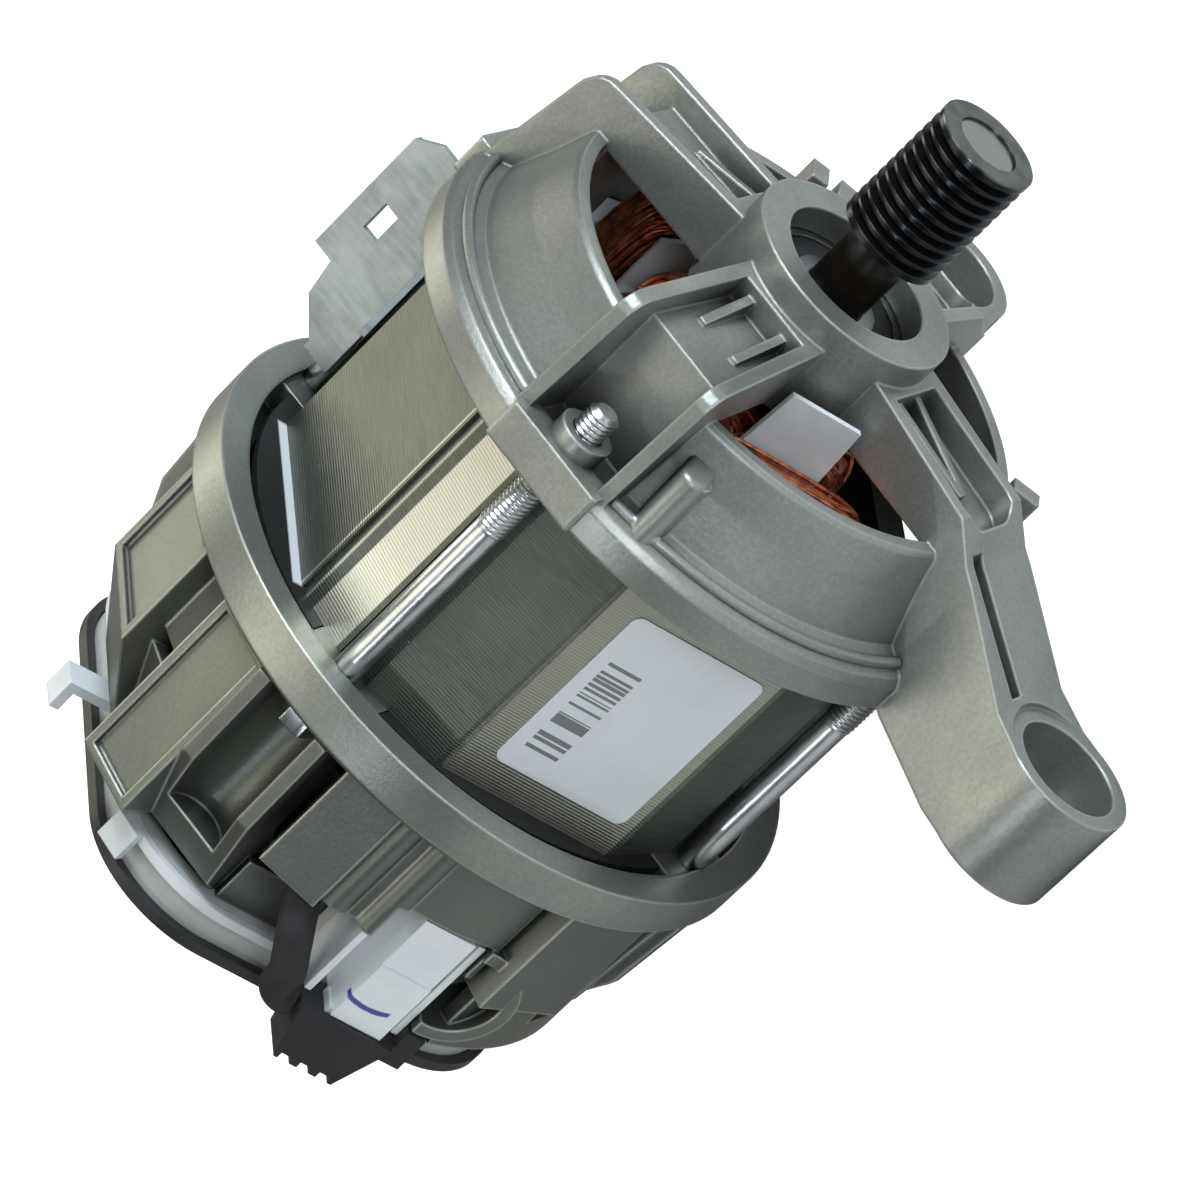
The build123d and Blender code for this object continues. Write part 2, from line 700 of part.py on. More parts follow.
def drum_shell():
    """Turned wall of the front shield: flange, step and the narrowing drum."""
    floor_x = STACK_FRONT_X
    points = [(FLANGE_REAR_X, FLANGE_RADIUS), (FLANGE_FRONT_X - DRUM_WALL / 2, FLANGE_RADIUS)]
    points += [(FLANGE_FRONT_X, FLANGE_RADIUS - DRUM_WALL / 3)]
    points += [(DRUM_STEP_X, DRUM_STEP_RADIUS)]
    middle_x = (DRUM_STEP_X + RIM_X) / 2
    points += [(middle_x, (DRUM_STEP_RADIUS + RIM_RADIUS) / 2 - DRUM_WALL / 6)]
    points += [(RIM_X - DRUM_WALL / 4, RIM_RADIUS), (RIM_X, RIM_RADIUS - DRUM_WALL / 4)]
    points += [(RIM_X, RIM_RADIUS - DRUM_WALL)]
    points += [(middle_x, (DRUM_STEP_RADIUS + RIM_RADIUS) / 2 - DRUM_WALL)]
    points += [(DRUM_STEP_X, DRUM_STEP_RADIUS - DRUM_WALL)]
    points += [(floor_x, DRUM_STEP_RADIUS - DRUM_WALL)]
    points += [(floor_x, FLANGE_SEAT_RADIUS), (FLANGE_REAR_X, FLANGE_SEAT_RADIUS)]
    return lathe(points)


def arm_outline(reach_low, reach_high, wall, x_high):
    """Tapered plan of an arm, as (reach, offset) points, with the wall left outside it."""
    hub_half = ARM_HUB_HALF_WIDTH - wall
    end_half = ARM_HALF_WIDTH - wall
    slope = (end_half - hub_half) / (ARM_END_REACH - HUB_RADIUS)
    low = hub_half + slope * (reach_low - HUB_RADIUS)
    high = hub_half + slope * (reach_high - HUB_RADIUS)
    outline = [(reach_low, -low), (reach_high, -high), (reach_high, high), (reach_low, low)]
    return plan(outline, FLANGE_REAR_X, x_high)


def arm_body():
    """One plain arm before its channel is cut, at phi zero."""
    hub_in = HUB_RADIUS - ARM_ROOT_DEPTH
    inner_x = ARM_HUB_TOP_X - ARM_DEPTH
    wall_reach = POCKET_START_REACH - POCKET_WALL
    side = [(ARM_HUB_TOP_X, hub_in), (ARM_TOP_X, ARM_END_REACH - ARM_CORNER_RADIUS)]
    steps = 5
    for step in range(1, steps + 1):
        angle = math.radians(90 * step / steps)
        x = ARM_TOP_X - ARM_CORNER_RADIUS * (1 - math.cos(angle))
        reach = ARM_END_REACH - ARM_CORNER_RADIUS * (1 - math.sin(angle))
        side += [(x, reach)]
    side += [(STACK_FRONT_X, FLANGE_RADIUS - DRUM_WALL / 2)]
    side += [(STACK_FRONT_X, wall_reach), (inner_x, wall_reach), (inner_x, hub_in)]
    body = slab(side, -ARM_HALF_WIDTH, ARM_HALF_WIDTH)
    return body & arm_outline(hub_in, FLANGE_RADIUS, 0, ARM_HUB_TOP_X)


def arm_channel():
    """The channel along a plain arm and the bolt pocket at its end."""
    floor = ARM_HUB_TOP_X - ARM_FLOOR_DROP
    outer = FLANGE_RADIUS + CUT_OVERRUN
    hub_out = HUB_RADIUS + ARM_WALL / 2
    top = ARM_HUB_TOP_X + CUT_OVERRUN
    trench = [(top, hub_out), (floor, hub_out), (floor - ARM_WALL / 2, POCKET_START_REACH)]
    trench += [(POCKET_FLOOR_X, POCKET_START_REACH), (POCKET_FLOOR_X, outer), (top, outer)]
    cut = slab(trench, -ARM_HALF_WIDTH, ARM_HALF_WIDTH)
    return cut & arm_outline(hub_out, outer, ARM_WALL, top)


def eye_channel():
    """The channel along an eye arm, rounded at its outer end."""
    floor = ARM_HUB_TOP_X - ARM_FLOOR_DROP
    hub_out = HUB_RADIUS + ARM_WALL / 2
    top = ARM_HUB_TOP_X + CUT_OVERRUN
    end = EYE_CHANNEL_END_REACH
    trench = [(top, hub_out), (floor, hub_out), (floor - ARM_WALL, end), (top, end)]
    cut = slab(trench, -ARM_HALF_WIDTH, ARM_HALF_WIDTH)
    cut = cut & arm_outline(hub_out, end, ARM_WALL, top)
    corners = cut.edges().filter_by(Axis.X).sort_by(Axis.Y)[:2]
    return fillet(corners, ARM_CHANNEL_ROUND)


def arm_ribs(length, spread):
    """Two low ribs in the channel beside the hub; spread turns them towards each other."""
    ribs = []
    channel = ARM_HUB_TOP_X - ARM_FLOOR_DROP
    floor = channel - ARM_WALL
    start = HUB_RADIUS - ARM_WALL
    end = HUB_RADIUS + length
    for sign in (1, -1):
        near = sign * RIB_OFFSET
        far = sign * (RIB_OFFSET - spread)
        half = RIB_WIDTH / 2
        outline = [(start, near - half), (end, far - half), (end, far + half)]
        outline += [(start, near + half)]
        bar = plan(outline, floor, ARM_HUB_TOP_X)
        slope = [(floor, start), (floor, end), (channel, end)]
        slope += [(ARM_HUB_TOP_X - RIB_DROP, start)]
        ribs.append(bar & slab(slope, -ARM_HALF_WIDTH, ARM_HALF_WIDTH))
    return joined(ribs)


def eye_place(side, drop):
    """Reach and offset of an eye, seen from the arm that carries it."""
    return (side + drop) / math.sqrt(2), (side - drop) / math.sqrt(2)


def eye_arm(side_distance, drop):
    """Deep arm from the hub over the drum corner down to an eye, at phi zero."""
    reach, offset = eye_place(side_distance, drop)
    hub_in = HUB_RADIUS - ARM_WALL
    root = POCKET_START_REACH - POCKET_WALL
    inner_x = ARM_HUB_TOP_X - ARM_DEPTH
    eye_rear = EYE_FACE_X - EYE_LENGTH
    side = [(ARM_HUB_TOP_X, hub_in), (ARM_TOP_X, POCKET_START_REACH)]
    side += [(EYE_ARM_SHOULDER_X, ARM_END_REACH - ARM_WALL)]
    side += [(EYE_FACE_X + ARM_WALL / 2, reach - EYE_OUTER_RADIUS)]
    side += [(EYE_FACE_X, reach - EYE_BORE_RADIUS / 2), (EYE_FACE_X, reach)]
    side += [(eye_rear, reach), (eye_rear, reach - EYE_BORE_RADIUS)]
    side += [(EYE_ARM_REAR_X, FLANGE_RADIUS), (STACK_FRONT_X, FLANGE_SEAT_RADIUS)]
    side += [(STACK_FRONT_X, root), (inner_x, root), (inner_x, hub_in)]
    profile = slab(side, -2 * ARM_HALF_WIDTH, 2 * ARM_HALF_WIDTH)
    half = EYE_ARM_HALF_WIDTH
    hub_half = ARM_HUB_HALF_WIDTH
    eye_half = EYE_OUTER_RADIUS - FACE_GAP
    outline = [(hub_in, -hub_half), (ARM_END_REACH, -half), (reach, offset - eye_half)]
    outline += [(reach, offset + eye_half), (ARM_END_REACH, half), (hub_in, hub_half)]
    arm = profile & plan(outline, eye_rear, ARM_HUB_TOP_X)
    arm = arm + rod(eye_rear, EYE_FACE_X, EYE_OUTER_RADIUS, -reach, offset)
    slot = panel((EYE_ARM_SHOULDER_X - EYE_SLOT_DEPTH, ARM_HUB_TOP_X),
                 (EYE_CHANNEL_END_REACH + ARM_WALL, reach - EYE_OUTER_RADIUS - ARM_WALL / 2),
                 (half - ARM_WALL - EYE_SLOT_WIDTH, half - ARM_WALL))
    arm = arm - slot
    spot_face = rod(EYE_FACE_X, ARM_HUB_TOP_X, EYE_OUTER_RADIUS, -reach, offset)
    bore = rod(eye_rear - CUT_OVERRUN, EYE_FACE_X + CUT_OVERRUN, EYE_BORE_RADIUS,
               -reach, offset)
    return arm - spot_face - bore


def drum_trim():
    """Small bosses and lugs cast on the outside of the drum."""
    pieces = []
    for phi in DRUM_BOSS_ANGLES:
        y, z = polar(DRUM_BOSS_REACH, phi)
        pieces.append(rod(STACK_FRONT_X, (DRUM_STEP_X + RIM_X) / 2 + DRUM_WALL,
                          DRUM_BOSS_RADIUS, y, z))
    for phi in LUG_ANGLES:
        root = RIM_RADIUS - DRUM_WALL / 2
        lug = panel((RIM_X + LUG_HEIGHT - LUG_LENGTH, RIM_X + LUG_HEIGHT / 2),
                    (root, root + LUG_HEIGHT), (-LUG_WIDTH / 2, LUG_WIDTH / 2))
        pieces.append(turned(lug, phi))
    return joined(pieces)


def make_front_shield():
    """Cast cover at the pulley end, with four arms, the hub and the two mounting eyes."""
    shield = drum_shell() + rod(-HUB_LENGTH, 0, HUB_RADIUS)
    for phi in PLAIN_ARM_ANGLES:
        shield = shield + turned(arm_body(), phi)
    near_carrier = turned(eye_arm(NEAR_EYE_SIDE, NEAR_EYE_DROP), EYE_ARM_ANGLES[0])
    far_carrier = turned(eye_arm(FAR_EYE_SIDE, FAR_EYE_DROP), EYE_ARM_ANGLES[0])
    shield = shield + near_carrier + mirror(far_carrier, about=Plane.XZ)
    for phi in PLAIN_ARM_ANGLES:
        shield = shield - turned(arm_channel(), phi) + turned(arm_ribs(RIB_LENGTH, 0), phi)
        y, z = polar(BOLT_CIRCLE_RADIUS, phi)
        shield = shield + rod(POCKET_FLOOR_X - POCKET_WALL, BOLT_BOSS_TOP_X, BOLT_BOSS_RADIUS,
                              y, z)
        shield = shield - turned(corner_slots(), phi)
    converging = arm_ribs(EYE_RIB_LENGTH, RIB_OFFSET - RIB_WIDTH / 4)
    for phi in EYE_ARM_ANGLES:
        shield = shield - turned(eye_channel(), phi) + turned(converging, phi)
    shield = shield + drum_trim()
    for phi in CORNER_ANGLES:
        y, z = polar(BOLT_CIRCLE_RADIUS, phi)
        shield = shield - rod(FLANGE_REAR_X - CUT_OVERRUN, BOLT_TIP_X + FACE_GAP,
                              BOLT_THREAD_RADIUS + FACE_GAP, y, z)
    seat = FRONT_BEARING_RADIUS + SLIP_GAP
    shield = shield - rod(-HUB_LENGTH - CUT_OVERRUN, -HUB_LIP, seat)
    shield = shield - rod(-HUB_LIP - CUT_OVERRUN, CUT_OVERRUN, HUB_HOLE_RADIUS)
    groove_rear = FRONT_BEARING_X - FACE_GAP - CLIP_THICKNESS - FACE_GAP
    groove = seat + CLIP_HEIGHT / 3
    return shield - rod(groove_rear, FRONT_BEARING_X - FACE_GAP, groove)


def corner_slots():
    """Two small square slots beside the bolt hole of a pocket, at phi zero."""
    slots = []
    for sign in (1, -1):
        centre = sign * CORNER_SLOT_OFFSET
        slots.append(panel((POCKET_FLOOR_X - CORNER_SLOT / 2, POCKET_FLOOR_X + CUT_OVERRUN),
                           (BOLT_CIRCLE_RADIUS - CORNER_SLOT / 2,
                            BOLT_CIRCLE_RADIUS + CORNER_SLOT / 2),
                           (centre - CORNER_SLOT / 2, centre + CORNER_SLOT / 2)))
    return joined(slots)


def make_rear_ring():
    """Turned ring of the rear shield with an inward lip and the four bolt pads."""
    points = [(RING_FRONT_X, RING_RADIUS), (RING_REAR_X + RING_LIP_LENGTH / 2, RING_RADIUS)]
    points += [(RING_REAR_X, RING_REAR_RADIUS), (RING_REAR_X, RING_LIP_RADIUS)]
    points += [(RING_REAR_X + RING_LIP_LENGTH, RING_LIP_RADIUS)]
    points += [(RING_REAR_X + RING_LIP_LENGTH, RING_INNER_RADIUS)]
    points += [(RING_FRONT_X, RING_INNER_RADIUS)]
    ring = lathe(points)
    pad = panel((RING_REAR_X, STACK_REAR_X), (PAD_INNER_REACH, RING_INNER_RADIUS + SEAT_GAP),
                (-PAD_HALF_WIDTH, PAD_HALF_WIDTH))
    return ring + joined([turned(pad, phi) for phi in CORNER_ANGLES])


def rear_arm():
    """Arm behind a bolt: a trough for the bolt head, then a spoke down to the rear hub."""
    side = [(RING_REAR_X, RING_REAR_RADIUS), (REAR_ARM_SHOULDER_X, REAR_ARM_SHOULDER_REACH)]
    side += [(REAR_FACE_X + SIDE_WALL_THICKNESS, REAR_ARM_END_REACH + REAR_ARM_THICKNESS / 2)]
    side += [(REAR_FACE_X, REAR_ARM_END_REACH)]
    side += [(REAR_FACE_X, REAR_HUB_RADIUS - SIDE_WALL_THICKNESS)]
    side += [(WEB_FRONT_X, REAR_HUB_RADIUS - SIDE_WALL_THICKNESS)]
    side += [(WEB_FRONT_X, SPOKE_OUTER_REACH)]
    side += [(BLOCK_REAR_X, REAR_ARM_INNER_REACH), (RING_REAR_X, REAR_ARM_INNER_REACH)]
    return slab(side, -PAD_HALF_WIDTH, PAD_HALF_WIDTH)


def trough():
    """Groove behind a bolt, open outwards, at phi zero."""
    groove = rod(WEB_FRONT_X, RING_REAR_X, TROUGH_RADIUS, -BOLT_CIRCLE_RADIUS, 0)
    mouth = panel((WEB_FRONT_X, RING_REAR_X), (BOLT_CIRCLE_RADIUS, RING_RADIUS + CUT_OVERRUN),
                  (-TROUGH_RADIUS, TROUGH_RADIUS))
    return groove + mouth


def channel_box():
    """Long box beside a trough, with a recessed outer face."""
    body = panel((RING_REAR_X, REAR_FACE_X + SIDE_WALL_THICKNESS),
                 (CHANNEL_REACH - CHANNEL_DEPTH, CHANNEL_REACH),
                 (-CHANNEL_HALF_WIDTH, CHANNEL_HALF_WIDTH))
    inner = CHANNEL_HALF_WIDTH - CHANNEL_RIM
    recess = panel((RING_REAR_X - CHANNEL_RIM, REAR_FACE_X + SIDE_WALL_THICKNESS + CHANNEL_RIM),
                   (CHANNEL_REACH - CHANNEL_RECESS, CHANNEL_REACH + CUT_OVERRUN),
                   (-inner, inner))
    tunnel = panel((RING_REAR_X - CHANNEL_RIM, REAR_FACE_X),
                   (CHANNEL_REACH - CHANNEL_DEPTH - CUT_OVERRUN,
                    CHANNEL_REACH - CHANNEL_RECESS - CHANNEL_RIM), (-inner, inner))
    return body - recess - tunnel


def brush_hood():
    """Box cast over the outer end of a brush, with a sunk face and a slope behind it."""
    inner_reach = HOOD_REACH - HOOD_SIDE_DEPTH
    side = [(RING_REAR_X, inner_reach), (RING_REAR_X, HOOD_REACH), (HOOD_REAR_X, HOOD_REACH)]
    side += [(REAR_FACE_X, REAR_ARM_END_REACH), (REAR_FACE_X, SPOKE_OUTER_REACH)]
    side += [(WEB_FRONT_X, SPOKE_OUTER_REACH), (WEB_FRONT_X, inner_reach)]
    outer = slab(side, -HOOD_HALF_WIDTH, HOOD_HALF_WIDTH)
    roof = HOOD_REACH - HOOD_WALL
    low = inner_reach - CUT_OVERRUN
    steep = (HOOD_REACH - REAR_ARM_END_REACH) / (HOOD_REAR_X - REAR_FACE_X)
    fall = steep * (HOOD_REAR_X - WEB_FRONT_X)
    room = [(RING_REAR_X + CUT_OVERRUN, low), (RING_REAR_X + CUT_OVERRUN, roof)]
    room += [(HOOD_REAR_X, roof), (WEB_FRONT_X, roof - fall), (WEB_FRONT_X, low)]
    inner_half = HOOD_HALF_WIDTH - HOOD_WALL
    recess = panel((RING_REAR_X - CHANNEL_RIM, HOOD_REAR_X + CHANNEL_RIM),
                   (HOOD_REACH - CHANNEL_RECESS, HOOD_REACH + CUT_OVERRUN),
                   (-HOOD_HALF_WIDTH + CHANNEL_RIM, HOOD_HALF_WIDTH - CHANNEL_RIM))
    return outer - slab(room, -inner_half, inner_half) - recess


def hood_strip():
    """Wall between a hood and a channel box, with a slot across it, at phi zero."""
    half = STRIP_HALF_WIDTH
    wall = panel((STRIP_REAR_X, RING_REAR_X), (STRIP_REACH - HOOD_WALL, STRIP_REACH),
                 (-half, half))
    slot_rear = STRIP_REAR_X - STRIP_SLOT
    side = [(slot_rear, STRIP_REACH - HOOD_WALL), (slot_rear, STRIP_REACH)]
    side += [(REAR_FACE_X, REAR_ARM_END_REACH), (REAR_FACE_X, SPOKE_OUTER_REACH)]
    side += [(WEB_FRONT_X, SPOKE_OUTER_REACH)]
    side += [(WEB_FRONT_X, REAR_ARM_END_REACH)]
    return wall + slab(side, -half, half)


def wall_arc(outer, phi, spread, x_rear):
    """Curved wall of the rear shield over part of the circle."""
    wall = tube(x_rear, RING_REAR_X, outer, outer - SIDE_WALL_THICKNESS)
    return wall & sector(x_rear, RING_REAR_X, outer, phi, spread)


def guard_loop():
    """C-shaped rim cast beside the connector."""
    low = -CONNECTOR_FACE_Y - LOOP_DEPTH
    shape = Cylinder(LOOP_OUTER_RADIUS, LOOP_DEPTH) - Cylinder(
        LOOP_OUTER_RADIUS - LOOP_WALL, LOOP_DEPTH + 2 * CUT_OVERRUN)
    shape = Pos(LOOP_X, -low - LOOP_DEPTH / 2, LOOP_Z) * Rot(90, 0, 0) * shape
    return shape


def connector_room():
    """Space kept free round the connector and its holder."""
    bottom = CONNECTOR_TOP_Z - CONNECTOR_HEIGHT - FLANGE_LOWER_GAP - FLANGE_PLATE
    top = CONNECTOR_TOP_Z + FLANGE_UPPER_GAP + FLANGE_PLATE
    return block((REAR_FACE_X - CUT_OVERRUN, CONNECTOR_FRONT_X + 2 * SEAT_GAP),
                 (-BLOCK_REACH - CUT_OVERRUN, -WEB_OUTER_REACH),
                 (bottom - SEAT_GAP, top + SEAT_GAP))


def make_rear_shield():
    """Cast cover at the brush end."""
    shield = make_rear_ring()
    for phi in CORNER_ANGLES:
        shield = shield + turned(rear_arm(), phi)
    for phi in CHANNEL_ANGLES:
        shield = shield + turned(channel_box(), phi)
    for phi in HOOD_ANGLES:
        shield = shield + turned(brush_hood(), phi)
    for phi in SIDE_WALL_ANGLES:
        shield = shield + wall_arc(SIDE_WALL_RADIUS, phi, SIDE_WALL_SPREAD, SIDE_WALL_REAR_X)
    shield = shield + wall_arc(SKIRT_RADIUS, SKIRT_ANGLE, SKIRT_SPREAD, SKIRT_REAR_X)
    shield = shield + wall_arc(SKIRT_RADIUS, FAR_SKIRT_ANGLE, SKIRT_SPREAD, FAR_SKIRT_REAR_X)
    for phi in STRIP_ANGLES:
        shield = shield + turned(hood_strip(), phi)
    box = panel((BLOCK_REAR_X, RING_REAR_X), (SIDE_WALL_RADIUS - 2 * SIDE_WALL_THICKNESS,
                                              BLOCK_REACH), (-BLOCK_HALF_WIDTH, BLOCK_HALF_WIDTH))
    for phi in BLOCK_ANGLES:
        shield = shield + turned(box, phi)
    flat = panel((BLOCK_REAR_X, RING_REAR_X), (SIDE_WALL_RADIUS - SIDE_WALL_THICKNESS,
                                               FLAT_PANEL_REACH),
                 (-FLAT_PANEL_HALF_WIDTH, FLAT_PANEL_HALF_WIDTH))
    for phi in FLAT_PANEL_ANGLES:
        shield = shield + turned(flat, phi)
    for phi in RIDGE_ANGLES:
        y, z = polar(RIDGE_REACH, phi)
        shield = shield + rod(SIDE_WALL_REAR_X, RING_REAR_X, RIDGE_RADIUS, y, z)
    web = panel((REAR_FACE_X, WEB_FRONT_X), (WEB_INNER_REACH, WEB_OUTER_REACH),
                (-WEB_HALF_WIDTH, WEB_HALF_WIDTH))
    for phi in WEB_ANGLES:
        shield = shield + turned(web, phi)
    shield = shield + guard_loop() - connector_room()
    shield = shield + rod(REAR_FACE_X, REAR_HUB_FRONT_X, REAR_HUB_RADIUS)
    shield = shield - rod(REAR_FACE_X - CUT_OVERRUN, REAR_SEAT_X, REAR_BEARING_RADIUS + SLIP_GAP)
    shield = shield - rod(REAR_FACE_X, REAR_HUB_FRONT_X + CUT_OVERRUN, REAR_HUB_HOLE_RADIUS)
    for phi in CORNER_ANGLES:
        shield = shield - turned(trough(), phi)
        y, z = polar(BOLT_CIRCLE_RADIUS, phi)
        shield = shield - rod(RING_REAR_X - CUT_OVERRUN, RING_FRONT_X + CUT_OVERRUN,
                              BOLT_RADIUS + FACE_GAP, y, z)
        y, z = polar(COVER_SCREW_REACH, phi)
        shield = shield - rod(REAR_FACE_X - CUT_OVERRUN, WEB_FRONT_X + CUT_OVERRUN,
                              SCREW_RADIUS + FACE_GAP, y, z)
    for phi in HOOD_ANGLES:
        shield = shield - turned(holder_screw_pair(SCREW_RADIUS + FACE_GAP), phi)
    return shield


def holder_screw_pair(radius):
    """Two bars along X where the screws of a brush holder go, at phi zero."""
    reach = (HOLDER_INNER_REACH + HOLDER_OUTER_REACH) / 2 - HOLDER_WALL
    front = WEB_FRONT_X + HOLDER_FOOT_THICKNESS + FACE_GAP
    rods = []
    for sign in (1, -1):
        rods.append(rod(front - SCREW_LENGTH, front, radius, -reach,
                        sign * HOLDER_SCREW_OFFSET))
    return joined(rods)


def make_brush_holder():
    """Plastic holder at phi zero: a foot on the rear shield and a block round the guide."""
    hole_x = GUIDE_HALF_X + SEAT_GAP
    hole_y = GUIDE_HALF_Y + SEAT_GAP
    foot_x = WEB_FRONT_X + FACE_GAP
    reach = (HOLDER_INNER_REACH, HOLDER_OUTER_REACH)
    half = hole_y + HOLDER_WALL
    body = panel((foot_x, BRUSH_STATION_X + hole_x + HOLDER_WALL), reach, (-half, half))
    foot_reach = (HOLDER_INNER_REACH, WEB_OUTER_REACH)
    foot = panel((foot_x, foot_x + HOLDER_FOOT_THICKNESS), foot_reach,
                 (-HOLDER_FOOT_HALF, HOLDER_FOOT_HALF))
    hole = panel((BRUSH_STATION_X - hole_x, BRUSH_STATION_X + hole_x),
                 (HOLDER_INNER_REACH - CUT_OVERRUN, HOLDER_OUTER_REACH + CUT_OVERRUN),
                 (-hole_y, hole_y))
    return body + foot - hole - holder_screw_pair(SCREW_RADIUS + FACE_GAP)


def make_holder_screws():
    """Screws of both brush holders."""
    screws = []
    front = WEB_FRONT_X + HOLDER_FOOT_THICKNESS + FACE_GAP
    reach = (HOLDER_INNER_REACH + HOLDER_OUTER_REACH) / 2 - HOLDER_WALL
    for sign in (1, -1):
        shank = rod(front - SCREW_LENGTH, front + 2 * FACE_GAP, SCREW_RADIUS,
                    -reach, sign * HOLDER_SCREW_OFFSET)
        head = rod(front + FACE_GAP, front + FACE_GAP + SCREW_HEAD_HEIGHT, SCREW_HEAD_RADIUS,
                   -reach, sign * HOLDER_SCREW_OFFSET)
        screws.append(shank + head)
    return group([turned(screw, phi) for screw in screws for phi in HOOD_ANGLES])


def make_brush_guide():
    """Brass tube of rectangular section that a brush slides in, closed at its outer end."""
    outer = panel((BRUSH_STATION_X - GUIDE_HALF_X, BRUSH_STATION_X + GUIDE_HALF_X),
                  (GUIDE_START_REACH, GUIDE_END_REACH), (-GUIDE_HALF_Y, GUIDE_HALF_Y))
    half_x = GUIDE_HALF_X - GUIDE_WALL
    half_y = GUIDE_HALF_Y - GUIDE_WALL
    inner = panel((BRUSH_STATION_X - half_x, BRUSH_STATION_X + half_x),
                  (GUIDE_START_REACH - CUT_OVERRUN, GUIDE_END_REACH - GUIDE_WALL),
                  (-half_y, half_y))
    return outer - inner


def make_brush():
    """Carbon brush with its end hollowed to the commutator."""
    body = panel((BRUSH_STATION_X - BRUSH_WIDTH_X / 2, BRUSH_STATION_X + BRUSH_WIDTH_X / 2),
                 (BRUSH_INNER_REACH - SEAT_GAP, BRUSH_OUTER_REACH),
                 (-BRUSH_WIDTH_Y / 2, BRUSH_WIDTH_Y / 2))
    worn = rod(BRUSH_STATION_X - BRUSH_WIDTH_X, BRUSH_STATION_X + BRUSH_WIDTH_X,
               BRUSH_INNER_REACH)
    return body - worn


def make_brush_spring():
    """Coil spring between a brush and the closed end of its guide."""
    start = BRUSH_OUTER_REACH + SEAT_GAP + SPRING_WIRE_RADIUS
    end = GUIDE_END_REACH - GUIDE_WALL - SEAT_GAP - SPRING_WIRE_RADIUS
    height = end - start
    with BuildPart() as part:
        with BuildLine() as path:
            Helix(height / SPRING_TURNS, height, SPRING_RADIUS)
        with BuildSketch(Plane(origin=path.line @ 0, z_dir=path.line % 0)):
            Circle(SPRING_WIRE_RADIUS)
        sweep(is_frenet=True)
    return Pos(BRUSH_STATION_X, -start, 0) * Rot(90, 0, 0) * part.part


def make_brush_terminals():
    """Flat tabs on the outer ends of both guides."""
    foot_reach = GUIDE_END_REACH + FACE_GAP
    foot = panel((BRUSH_STATION_X - TAB_FOOT_LENGTH / 2, BRUSH_STATION_X + TAB_FOOT_LENGTH / 2),
                 (foot_reach, foot_reach + TAB_THICKNESS), (-TAB_WIDTH / 2, TAB_WIDTH / 2))
    tab = panel((BRUSH_STATION_X - TAB_WIDTH / 2, BRUSH_STATION_X + TAB_WIDTH / 2),
                (foot_reach, foot_reach + TAB_LENGTH), (-TAB_THICKNESS / 2, TAB_THICKNESS / 2))
    return group([turned(foot + tab, phi) for phi in HOOD_ANGLES])


def make_shaft():
    """Stepped shaft from the pulley end to the speed sensor."""
    points = [(SHAFT_END_X, 0), (SHAFT_END_X, SHAFT_RADIUS), (SHAFT_SHOULDER_X, SHAFT_RADIUS)]
    points += [(SHAFT_SHOULDER_X, SHAFT_CORE_RADIUS)]
    points += [(SHAFT_REAR_SHOULDER_X, SHAFT_CORE_RADIUS)]
    points += [(SHAFT_REAR_SHOULDER_X, SHAFT_REAR_RADIUS), (SHAFT_TAIL_X, SHAFT_REAR_RADIUS)]
    points += [(SHAFT_TAIL_X, 0)]
    return lathe(points)


def make_pulley():
    """Belt pulley with V-shaped grooves round it."""
    end_x = PULLEY_START_X + PULLEY_LENGTH
    bore = SHAFT_RADIUS + SLIP_GAP
    start = PULLEY_START_X + (PULLEY_LENGTH - PULLEY_RIB_COUNT * PULLEY_RIB_PITCH) / 2
    crest_share = 0.12
    root_share = 0.44
    points = [(PULLEY_START_X, bore), (PULLEY_START_X, PULLEY_RADIUS)]
    for rib in range(PULLEY_RIB_COUNT):
        x = start + rib * PULLEY_RIB_PITCH
        points += [(x + crest_share * PULLEY_RIB_PITCH, PULLEY_RADIUS)]
        points += [(x + root_share * PULLEY_RIB_PITCH, PULLEY_RADIUS - PULLEY_RIB_DEPTH)]
        points += [(x + (1 - root_share) * PULLEY_RIB_PITCH, PULLEY_RADIUS - PULLEY_RIB_DEPTH)]
        points += [(x + (1 - crest_share) * PULLEY_RIB_PITCH, PULLEY_RADIUS)]
    points += [(end_x, PULLEY_RADIUS), (end_x, bore)]
    return lathe(points)


def bearing_pieces(x_rear, width, outer_radius, shaft_radius):
    """Outer ring, balls, seals and inner ring of a ball bearing."""
    front = x_rear + width - FACE_GAP
    inner_out = shaft_radius + RACE_THICKNESS
    outer_in = outer_radius - RACE_THICKNESS
    middle = (inner_out + outer_in) / 2
    outer = tube(x_rear, front, outer_radius, outer_in)
    inner = tube(x_rear, front, inner_out, shaft_radius + SLIP_GAP)
    balls = []
    for ball in range(BALL_COUNT):
        y, z = polar(middle, 360 * ball / BALL_COUNT)
        balls.append(Pos(x_rear + width / 2, y, z) * Sphere(BALL_RADIUS))
    seals = []
    for low in (x_rear + SEAL_INSET, front - SEAL_INSET - SEAL_THICKNESS):
        seals.append(tube(low, low + SEAL_THICKNESS, outer_in - SLIP_GAP, inner_out + SEAT_GAP))
    return outer, group(balls), group(seals), inner


def make_bearing_clip():
    """Open retaining ring behind the front bearing."""
    rear = FRONT_BEARING_X - FACE_GAP - CLIP_THICKNESS
    outer = FRONT_BEARING_RADIUS + SLIP_GAP + CLIP_HEIGHT / 3 - FACE_GAP
    ring = tube(rear, rear + CLIP_THICKNESS, outer, outer - CLIP_HEIGHT)
    gap = panel((rear - CUT_OVERRUN, rear + CLIP_THICKNESS + CUT_OVERRUN),
                (SHAFT_CORE_RADIUS, HUB_RADIUS), (-CLIP_HEIGHT, CLIP_HEIGHT))
    return ring - turned(gap, -90)


